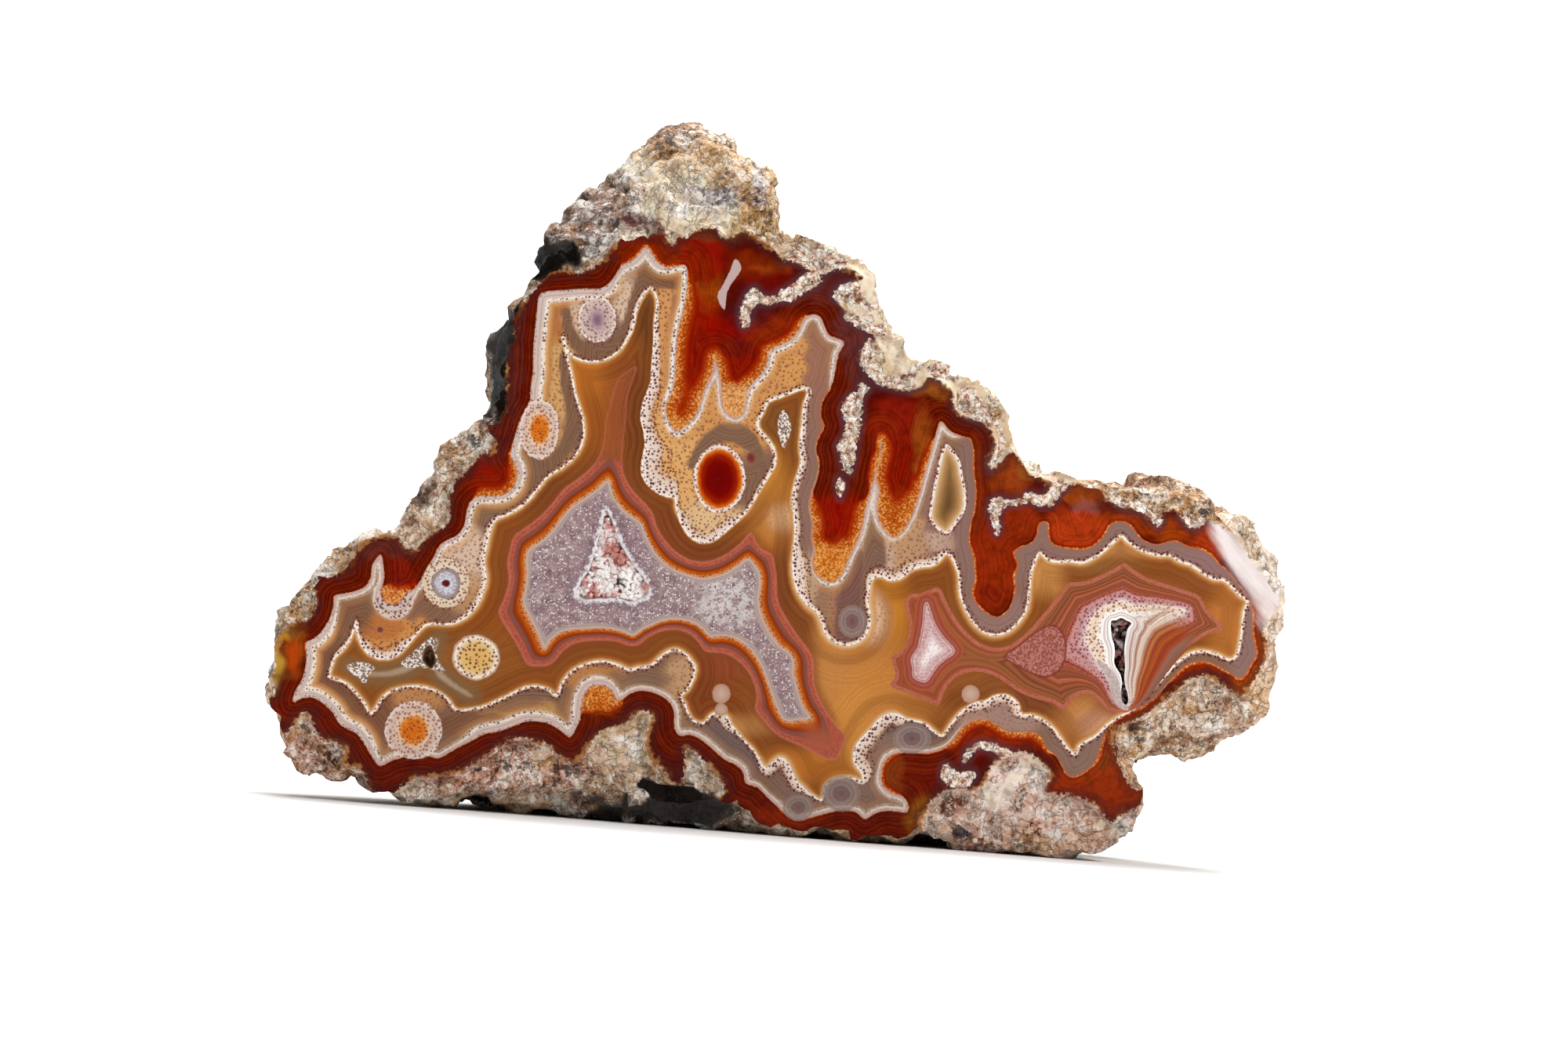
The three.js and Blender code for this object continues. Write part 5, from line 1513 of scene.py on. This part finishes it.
colour = mix(of(grown(brick, -0.5, 0.5), wash_share), colour, lining)
brick_line = of(strip(brick, -1.0, 1.0, 1.0), grown(grit, 0.3, 0.5, 0.4, 0.9))
colour = mix(of(brick_line, grown(number("wash"), 0, 1, 0.3, 0.7)), colour, (186, 104, 84))
fine_dot, unused = speckle(0.3, 0.09)
fine_dots = of(fine_dot, strip(lining_share, 0.03, 0.22, 0.03))
colour = mix(of(fine_dots, 0.75), colour, (104, 26, 16))
print("lining laid")

# %% Quartz
quartz_wash = ramp(cloud(1.2, 5.0, 0.68), [
    (0.3, (104, 80, 84)), (0.45, (140, 112, 115)), (0.6, (158, 132, 132)), (0.75, (182, 162, 160)),
])
needles, needle_tone = speckle(0.24, 0.09)
bright = grown(needle_tone, 0.66, 0.84)
quartz = mix(of(grown(grit, 0.52, 0.66), 0.35), quartz_wash, (214, 200, 204))
quartz = mix(of(needles, bright, 0.8), quartz, (238, 230, 232))
frost = plus(number("frost"), of(slow, 1.6))
frosty = grown(frost, 1.2, 0.4)
quartz = mix(of(frosty, grown(cloud(0.9, 4.0, 0.7), 0.4, 0.56)), quartz, (206, 198, 194))
quartz = mix(of(frosty, grown(grit, 0.4, 0.3)), quartz, (92, 82, 70))
rim_of_quartz = ramp(core, [
    (0, (184, 130, 104)), (1.2, (196, 176, 164)), (3, (166, 146, 138)), (6, (176, 154, 148)), (8, (156, 132, 130)),
])
quartz = mix(grown(plus(core, of(slow, 10.0)), 8, 4), quartz, rim_of_quartz)
fluff = plus(number("three_corners"), of(wobble, 22.0))
# Painted shade: a grey-violet ring a little outside the three-cornered hollow.
quartz = mix(of(grown(fluff, -16, -9), 0.4), quartz, (112, 90, 102))
quartz = mix(grown(fluff, -6, -1), quartz, (226, 220, 222))
colour = mix(grown(core, -0.5, 0.5), colour, quartz)
print("quartz laid")

# %% Chamber at the right
to_spur = minus(12.0, number("spur"))
to_slit = larger(of(number("slit"), -1.0), 0.0)
to_slit = maths("MINIMUM", to_slit, to_spur)
inside = larger(chamber, 0.0)
depth_share = ratio(inside, plus(inside, plus(to_slit, 0.001)))
rings = ramp(depth_share, [
    (0.0, (178, 88, 52)), (0.03, (158, 72, 42)), (0.06, (140, 84, 48)), (0.16, (126, 74, 46)),
    (0.24, (150, 76, 46)), (0.28, (180, 96, 72)), (0.31, (136, 72, 48)), (0.37, (134, 70, 50)),
    (0.4, (172, 88, 72)), (0.43, (146, 58, 50)), (0.46, (200, 144, 138)), (0.55, (184, 136, 136)),
    (0.62, (208, 178, 178)), (0.66, (234, 216, 202)), (0.74, (226, 200, 172)), (0.8, (240, 228, 214)),
    (0.86, (250, 244, 240)), (0.89, (196, 176, 172)), (0.91, (248, 242, 238)), (0.94, (190, 172, 170)),
    (0.96, (250, 246, 244)), (1.0, (255, 252, 250)),
])
hundred = of(depth_share, 100.0)
brown_part = grown(depth_share, 0.5, 0.42)
rings = mix(of(bands_share(hundred, 4.0, 3.0), brown_part, 0.5), rings, (98, 46, 34))
rings = mix(of(bands_share(plus(hundred, 31.0), 6.0, 3.0), brown_part, 0.3), rings, (196, 112, 76))
brick_ring = of(strip(chamber, 0, 4.5, 1.0), grown(grit, 0.3, 0.6, 0.3, 0.9))
rings = mix(brick_ring, rings, (182, 104, 84))
dot_zone = strip(depth_share, 0.5, 0.8, 0.06)
rings = mix(of(small_dot, dot_zone, 0.8), rings, (128, 34, 34))
rings = mix(of(fine_dot, strip(depth_share, 0.41, 0.45, 0.02), 0.7), rings, (120, 30, 28))
fan = ramp(depth_share, [
    (0, (150, 84, 60)), (0.08, (136, 100, 84)), (0.16, (150, 112, 96)), (0.22, (170, 78, 46)),
    (0.3, (150, 56, 36)), (0.38, (182, 92, 34)), (0.46, (146, 62, 44)), (0.52, (200, 128, 66)),
    (0.57, (156, 72, 48)), (0.63, (214, 178, 150)), (0.7, (240, 226, 212)), (0.76, (172, 122, 96)),
    (0.82, (244, 234, 226)), (0.88, (176, 126, 102)), (0.93, (248, 242, 236)), (1.0, (252, 248, 244)),
])
fan = mix(of(bands_share(hundred, 2.6, 1.0), 0.5), fan, (118, 50, 36))
rings = mix(number("fan"), rings, fan)
tongue = ragged("tongue", 1.0)
tongue_colour = mix(of(grains, 0.5), (176, 158, 154), (214, 198, 192))
rings = mix(grown(tongue, -1.5, 1.0), rings, tongue_colour)
colour = mix(grown(chamber, -0.5, 0.5), colour, rings)
sugar = ragged("sugar", 1.0)
sugar_colour = mix(of(grains, 0.6), (142, 74, 66), (200, 140, 124))
colour = mix(grown(sugar, -1.5, 1.5), colour, sugar_colour)
colour = mix(of(strip(sugar, -1.0, 0.5, 1.0), 0.7), colour, (120, 44, 42))
diamond = ragged("diamond", 1.2)
around = ramp(of(diamond, -1.0), [
    (0, (124, 46, 44)), (1.5, (208, 166, 156)), (3.2, (150, 66, 58)), (6, (166, 86, 72)), (9, (140, 68, 50)),
    (12, (174, 86, 54)), (15, (140, 76, 48)),
])
colour = mix(of(grown(diamond, -16, -11), grown(chamber, 0, 2)), colour, around)
filling = ramp(diamond, [(0, (208, 170, 168)), (4, (190, 146, 146)), (9, (212, 182, 180)), (13, (242, 232, 230))])
filling = mix(of(grains, 0.35), filling, (234, 214, 212))
filling = mix(of(small_dot, 0.3), filling, (160, 80, 78))
colour = mix(grown(diamond, -0.5, 0.5), colour, filling)
print("chamber laid")

# %% Touches
touch, touch_share = tint("touches")
touch_share = maths("MINIMUM", of(touch_share, 1.0), 1.0)
colour = mix(touch_share, colour, (0, 0, 0))
colour = mix(1.0, colour, touch, "ADD")

# %% Eyes in the bands
# An eye is a set of rings around one point, so a ramp over the share of its radius draws it.


def lay_eye(under, name, stops, reach, uneven=0.22):
    """Lays the rings of an eye over the colour so far."""
    share = plus(number(name), of(wobble, uneven))
    share = plus(share, of(slow, 0.2))
    return mix(grown(share, reach, reach - 0.06), under, ramp(share, stops)), share


colour, share = lay_eye(colour, "red_eye", [
    (0, (130, 30, 26)), (0.1, (100, 6, 6)), (0.5, (116, 6, 3)), (0.7, (150, 30, 4)), (0.8, (196, 84, 12)),
    (0.85, (214, 130, 50)), (0.88, (226, 200, 180)), (0.96, (236, 224, 216)), (1.0, (196, 160, 140)),
], 1.02, 0.12)
ring_dots = of(small_dot, strip(share, 0.88, 1.02, 0.03))
colour = mix(of(ring_dots, 0.8), colour, (124, 50, 48))
colour, share = lay_eye(colour, "orange_eye", [
    (0, (206, 96, 14)), (0.35, (208, 106, 22)), (0.46, (216, 146, 72)), (0.54, (222, 192, 166)),
    (0.75, (202, 176, 162)), (0.92, (220, 200, 186)), (1.0, (240, 230, 222)),
], 1.0)
colour = mix(of(grains, grown(share, 0.5, 0.35), 0.25), colour, (232, 160, 70))
colour = mix(of(small_dot, grown(share, 1.08, 1.0), 0.75), colour, (142, 56, 34))
colour, share = lay_eye(colour, "grey_eye", [
    (0, (84, 24, 20)), (0.16, (96, 34, 32)), (0.22, (190, 184, 196)), (0.4, (168, 158, 162)), (0.55, (150, 134, 130)),
    (0.62, (150, 132, 122)), (0.66, (226, 208, 190)), (0.9, (214, 188, 156)), (1.0, (232, 216, 200)),
], 1.0)
needle_ring = of(grains, strip(share, 0.2, 0.45, 0.05))
colour = mix(of(needle_ring, 0.6), colour, (226, 226, 240))
colour = mix(of(small_dot, strip(share, 0.62, 1.05, 0.04), 0.8), colour, (112, 40, 38))
colour, share = lay_eye(colour, "violet_eye", [
    (0, (112, 84, 104)), (0.18, (140, 112, 124)), (0.36, (178, 152, 152)), (0.6, (202, 176, 168)),
    (0.85, (206, 182, 170)), (0.94, (238, 226, 216)), (1.0, (226, 204, 184)),
], 1.0)
colour = mix(of(small_dot, strip(share, 0.4, 1.1, 0.06), 0.7), colour, (112, 44, 50))
colour, share = lay_eye(colour, "yellow_eye", [
    (0, (214, 166, 94)), (0.6, (220, 178, 110)), (0.8, (226, 200, 160)), (0.92, (240, 228, 216)),
    (1.0, (206, 160, 130)), (1.08, (132, 80, 46)), (1.3, (150, 92, 42)),
], 1.2, 0.12)
colour = mix(of(dot, grown(share, 1.0, 0.94), 0.85), colour, (96, 46, 50))
colour, share = lay_eye(colour, "pale_eye", [(0, (200, 170, 150)), (0.8, (182, 144, 122)), (1.0, (176, 124, 96))], 1.0)
colour, share = lay_eye(colour, "dark_eye", [(0, (120, 40, 34)), (0.5, (122, 54, 44)), (1.0, (130, 96, 84))], 0.9, 0.4)
ringed, share = lay_eye(colour, "ringed_eye", [
    (0, (96, 72, 78)), (0.25, (128, 96, 92)), (0.4, (108, 92, 96)), (0.5, (150, 128, 120)), (0.62, (128, 110, 106)),
    (0.75, (158, 136, 126)), (0.88, (132, 114, 108)), (1.0, (152, 132, 122)),
], 1.0)
colour = mix(0.75, colour, ringed)
print("eyes laid")

# %% Caught rock, margin and polish
streaks = {0: place_on_stone(), 2: (0, 0.85, 0), 3: (3.4, 1, 0.8)}
streaks = add_node("ShaderNodeMapping", streaks, vector_type="TEXTURE")
streaks = add_node("ShaderNodeTexNoise", {"Vector": streaks.outputs[0], "Scale": 420, "Detail": 4}).outputs["Fac"]
# Whitish streaks laid over the right edge of the face.
milk = plus(number("milk"), of(minus(streaks, 0.5), 40.0))
whitish_colour = ramp(streaks, [(0.3, (214, 178, 174)), (0.5, (232, 214, 210)), (0.65, (244, 234, 232))])
colour = mix(of(grown(milk, -10, 14), 0.92), colour, whitish_colour)
seams = plus(number("seams"), of(wobble, 3.0))
colour = mix(of(grown(seams, -18, -2), 0.7), colour, (124, 96, 64))
colour = mix(of(grown(seams, -1.5, 4.5), 0.6), colour, (190, 168, 144))
sparkles = plus(number("sparkles"), of(wobble, 5.0))
sparkle_tone = mix(grains, (120, 92, 74), (236, 226, 218))
colour = mix(grown(sparkles, -1.0, 0.8), colour, sparkle_tone)
sliver = ragged("sliver", 1.4)
colour = mix(grown(sliver, -0.6, 0.6), colour, (190, 164, 160))
rock, rock_height, clear_share = rind_colour()
caught = larger(number("crinkle"), number("rocks"))
caught = plus(caught, of(wobble, 16.0))
folds = cloud(1.5, 4.0, 0.6, (0.1, 0.8, 0.3))
crease = maths("ABSOLUTE", minus(folds, 0.5))
caught_rock = ramp(cloud(0.8, 5.0, 0.7, (0.4, 0.2, 0.6)), [
    (0.36, (128, 84, 66)), (0.42, (196, 148, 122)), (0.49, (238, 212, 190)), (0.58, (255, 248, 238)),
])
# Painted shade: the creases of the caught rock are darkened brown.
caught_rock = mix(grown(crease, 0.03, 0.0, 0.0, 0.8), caught_rock, (104, 64, 52))
under_rock = mix(grown(rim, 2.0, -2.0), colour, rock)
colour = mix(grown(caught, -1.0, 1.0), under_rock, caught_rock)
broken_share = of(grown(rim, 2.0, -2.0), grown(clear_share, 1.0, 0.0))
rough_share = larger(broken_share, grown(caught, -1.0, 1.0))
join(shader.inputs["Base Color"], colour)
join(shader.inputs["Roughness"], grown(rough_share, 0, 1, 0.16, 0.75))
bump = add_node("ShaderNodeBump", {"Distance": 0.35 * MM, "Height": plus(rock_height, crease)})
join(bump.inputs["Strength"], of(rough_share, 0.85))
join(shader.inputs["Normal"], bump.outputs["Normal"])
shader.inputs["Specular IOR Level"].default_value = 0.03
print("the agate's finish has", len(tree.nodes), "nodes")

# %% [markdown]
# ## Crystal crusts
# The three-cornered hollow and the slit are lined with quartz points. A quartz point is a six-sided column
# with a six-sided tip. One is modelled, then copied in many sizes and leanings over a bumpy bed, which is
# how a druse looks from close by.

# %% One quartz point
deselect_all()
bpy.ops.mesh.primitive_cylinder_add(vertices=6, radius=0.5, depth=1, location=(0, 0, 0.5))
point = bpy.context.object
point.name = "quartz_point"
bpy.ops.object.transform_apply(location=True, rotation=True, scale=True)
bpy.ops.object.mode_set(mode="EDIT")
bpy.ops.mesh.select_mode(type="FACE")
bpy.ops.mesh.select_all(action="DESELECT")
bpy.ops.object.mode_set(mode="OBJECT")
for polygon in point.data.polygons:
    polygon.select = polygon.normal.z > 0.9
bpy.ops.object.mode_set(mode="EDIT")
bpy.ops.mesh.extrude_region_move(TRANSFORM_OT_translate={"value": (0, 0, 0.55)})
bpy.ops.mesh.merge(type="CENTER")
bpy.ops.object.mode_set(mode="OBJECT")
point_places = corners(point.data)
point_faces = [tuple(polygon.vertices) for polygon in point.data.polygons]
print("one quartz point has", len(point_faces), "faces")


# %% Beds and crystals


def crust(name, outline, deep, narrow, bed_height, count, size, lean, seed, pale_share, finishes):
    """A bed that fills the bottom of a hollow, with many quartz points standing on it."""
    chance = random.Random(seed)
    bed = plug(name, outline, deep, narrow, "milky_wall")
    bed.data.materials.clear()
    bed.data.materials.append(bpy.data.materials[finishes[0]])
    places = corners(bed.data)
    front = places[:, 1] < FACE_Y + 0.01 * MM
    places[front, 1] = FACE_Y + deep - bed_height
    middle = places.mean(axis=0)
    places[:, 0] = middle[0] + (places[:, 0] - middle[0]) * 0.9
    places[:, 2] = middle[2] + (places[:, 2] - middle[2]) * 0.9
    places[:, 1] -= 0.12 * MM
    set_corners(bed.data, places)
    pick(bed)
    remesh = bed.modifiers.new("even", "REMESH")
    remesh.mode = "VOXEL"
    remesh.voxel_size = 0.22 * MM
    bpy.ops.object.modifier_apply(modifier=remesh.name)
    places = corners(bed.data)
    lumps = np.array([noise.noise(Vector(p) / (0.7 * MM)) for p in places])
    places[:, 1] += lumps * 0.25 * MM
    set_corners(bed.data, places)
    low = smooth_line(outline).min(axis=0)
    high = smooth_line(outline).max(axis=0)
    all_points = []
    all_faces = []
    kinds = []
    placed = 0
    while placed < count:
        spot = np.array([[chance.uniform(low[0], high[0]), chance.uniform(low[1], high[1])]])
        room = distance_inside(spot, outline)[0]
        if room < 1.5:
            continue
        x, z = to_stone(*spot[0])
        length = size * chance.uniform(0.6, 1.5)
        radius = length * chance.uniform(0.3, 0.5)
        tip = Vector((chance.gauss(0, lean), -1, chance.gauss(0, lean))).normalized()
        turn = tip.to_track_quat("Z", "Y").to_matrix() @ Matrix.Rotation(chance.uniform(0, 1), 3, "Z")
        foot = Vector((x, FACE_Y + deep - bed_height + 0.05 * MM, z))
        start = len(all_points)
        for p in point_places:
            all_points.append(foot + turn @ Vector((p[0] * radius * 2, p[1] * radius * 2, p[2] * length)))
        all_faces += [tuple(start + i for i in face) for face in point_faces]
        kinds += [1 if chance.random() < pale_share else 0] * len(point_faces)
        placed += 1
    mesh = bpy.data.meshes.new(name + "_points")
    mesh.from_pydata(all_points, [], all_faces)
    for finish_name in finishes[1:]:
        mesh.materials.append(bpy.data.materials[finish_name])
    mesh.polygons.foreach_set("material_index", kinds)
    points = new_object(name + "_points", mesh)
    bed.select_set(True)
    bpy.context.view_layer.objects.active = bed
    bpy.ops.object.join()
    print(name, "has", placed, "crystals and", len(bed.data.polygons), "faces")
    return bed


for name in ("milky_crystals", "clear_crystals"):
    bpy.data.materials.new(name)
milky = ("milky_crystals", "milky_crystals", "milky_crystals")
mixed = ("maroon_wall", "clear_crystals", "milky_crystals")
core_crust = crust("core_crystals", TRIANGLE, 2.55 * MM, 0.8, 1.7 * MM, 460, 0.6 * MM, 0.7, 5, 0.0, milky)
# Nearly half of the slit's crystals are milky: partly white crystals, partly painted glints.
slit_crust = crust("slit_crystals", SLIT, 6.6 * MM, 0.72, 4.9 * MM, 190, 0.5 * MM, 0.9, 9, 0.45, mixed)
bpy.data.objects.remove(point)

# %% [markdown]
# ## Crystal finishes
# The crystals of the middle are milky and stained pink by iron, with a dark spot of painted shade where a pit
# opens. Those of the slit are clear, over a dark red wall, so they are see-through and mostly show glints;
# nearly half of them are milky, partly white crystals and partly painted glints.

# %% Milky and smoky quartz
tree, shader = finish("milky_crystals")
stain = cloud(2.6, 3.0, 0.6, (0.2, 0.3, 0.1))
milk = mix(grown(stain, 0.46, 0.6), (246, 240, 238), (196, 132, 122))
# Painted shade: a dark spot where a deep pit opens among the crystals.
hole_x, hole_z = to_stone(793, 743)
away = add_node("ShaderNodeVectorMath", {0: place_on_stone(), 1: (hole_x, FACE_Y + 1 * MM, hole_z)}, operation="DISTANCE")
milk = mix(grown(away.outputs["Value"], 1.3 * MM, 0.7 * MM), milk, (58, 42, 44))
join(shader.inputs["Base Color"], milk)
shader.inputs["Roughness"].default_value = 0.25
tree, shader = finish("clear_crystals")
shader.inputs["Base Color"].default_value = (0.8, 0.62, 0.62, 1)
shader.inputs["Transmission Weight"].default_value = 1.0
shader.inputs["IOR"].default_value = 1.54
shader.inputs["Roughness"].default_value = 0.05
print("crystals finished")

# %% [markdown]
# ## Joining the frame
# Each finished piece rides on the stone's body and stands for one plain solid, which stays hidden as the shape
# that things bump into.

# %% Pieces and frame
for polygon in stone.data.polygons:
    polygon.use_smooth = True
for piece, node_name, slot_name in (
    (stone, "nodule", "agate"),
    (core_crust, "core_druse", "milky_quartz"),
    (slit_crust, "slit_druse", "smoky_quartz"),
):
    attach(piece, "root")
    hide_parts(node_name)
print("three pieces ride on the stone's body")

# %% [markdown]
# ## Floor and light
# A pale sheet runs from under the stone up behind it without an edge, as in a small photo studio. Broad soft
# lamps stand above and to the right, as the shadows fall to the lower left. No lamp stands where the polished
# face would mirror it.

# %% Floor
deselect_all()
bpy.ops.mesh.primitive_plane_add(size=1, location=(0, 0.275, 0))
floor = bpy.context.object
floor.name = "floor"
floor.scale = (4.0, 1.75, 1)
bpy.ops.object.transform_apply(location=True, rotation=True, scale=True)
bpy.ops.object.mode_set(mode="EDIT")
bpy.ops.mesh.select_mode(type="EDGE")
bpy.ops.mesh.select_all(action="DESELECT")
bpy.ops.object.mode_set(mode="OBJECT")
for side in floor.data.edges:
    side.select = all(floor.data.vertices[v].co.y > 0.7 for v in side.vertices)
bpy.ops.object.mode_set(mode="EDIT")
bpy.ops.mesh.extrude_region_move(TRANSFORM_OT_translate={"value": (0, 0.12, 0.03)})
bpy.ops.mesh.extrude_region_move(TRANSFORM_OT_translate={"value": (0, 0.10, 0.09)})
bpy.ops.mesh.extrude_region_move(TRANSFORM_OT_translate={"value": (0, 0.05, 0.14)})
bpy.ops.mesh.extrude_region_move(TRANSFORM_OT_translate={"value": (0, 0.0, 1.4)})
bpy.ops.object.mode_set(mode="OBJECT")
for polygon in floor.data.polygons:
    polygon.use_smooth = True
bpy.data.materials.new("pale_sheet")
tree, shader = finish("pale_sheet")
sheet_tone = ramp(cloud(400.0, 2.0), [(0.3, (238, 238, 237)), (0.7, (242, 242, 241))])
join(shader.inputs["Base Color"], sheet_tone)
shader.inputs["Roughness"].default_value = 0.9
shader.inputs["Specular IOR Level"].default_value = 0.1
floor.data.materials.append(bpy.data.materials["pale_sheet"])
print("the floor is a sheet of", len(floor.data.polygons), "faces")

# %% Lamps


def lamp(name, place, aim, size, power):
    """A square soft lamp that looks at a point."""
    bpy.ops.object.light_add(type="AREA", location=place)
    made = bpy.context.object
    made.name = name
    made.data.size = size
    made.data.energy = power
    made.rotation_mode = "QUATERNION"
    made.rotation_quaternion = (Vector(aim) - Vector(place)).to_track_quat("-Z", "Y")
    return made


stone_middle = (0, 0, 0.035)
lamp("key_lamp", (0.66, -0.64, 0.78), stone_middle, 0.3, 8.4)
lamp("top_lamp", (0.1, 0.15, 0.9), stone_middle, 0.6, 6.5)
lamp("fill_lamp", (-0.9, -0.9, 0.35), stone_middle, 0.7, 2.3)
lamp("sheet_lamp", (0.0, 0.6, 1.3), (0, 1.45, 0.3), 0.9, 27.0)
world = bpy.data.worlds.new("studio")
bpy.context.scene.world = world
world.use_nodes = True
world.node_tree.nodes["Background"].inputs["Color"].default_value = (1, 1, 1, 1)
world.node_tree.nodes["Background"].inputs["Strength"].default_value = 0.05
bpy.context.scene.view_settings.view_transform = "Standard"
print("four soft lamps")

# %% [markdown]
# ## Camera
# The picture was taken straight on to the face. The camera stands on the line through the picture's middle,
# at right angles to the face, and takes the turn that the stone had. Its lens is set so that one pixel is as
# wide on the face as it was in the picture.

# %% Camera
CAMERA_AWAY = 1.1
aim_x, aim_z = to_stone(*FRAME_MIDDLE)
bpy.ops.object.camera_add(location=(aim_x, FACE_Y - CAMERA_AWAY, aim_z))
camera = bpy.context.object
camera.data.sensor_width = 36
camera.data.lens = 36 * CAMERA_AWAY / (2000 * PX)
right_side = Vector((math.cos(TURN), 0, math.sin(TURN)))
up_side = Vector((-math.sin(TURN), 0, math.cos(TURN)))
backwards = Vector((0, -1, 0))
camera.rotation_mode = "QUATERNION"
camera.rotation_quaternion = Matrix((right_side, up_side, backwards)).transposed().to_quaternion()
camera.data.clip_start = 0.05
camera.data.clip_end = 20
bpy.context.scene.camera = camera
print("the lens is", round(camera.data.lens, 1), "mm")
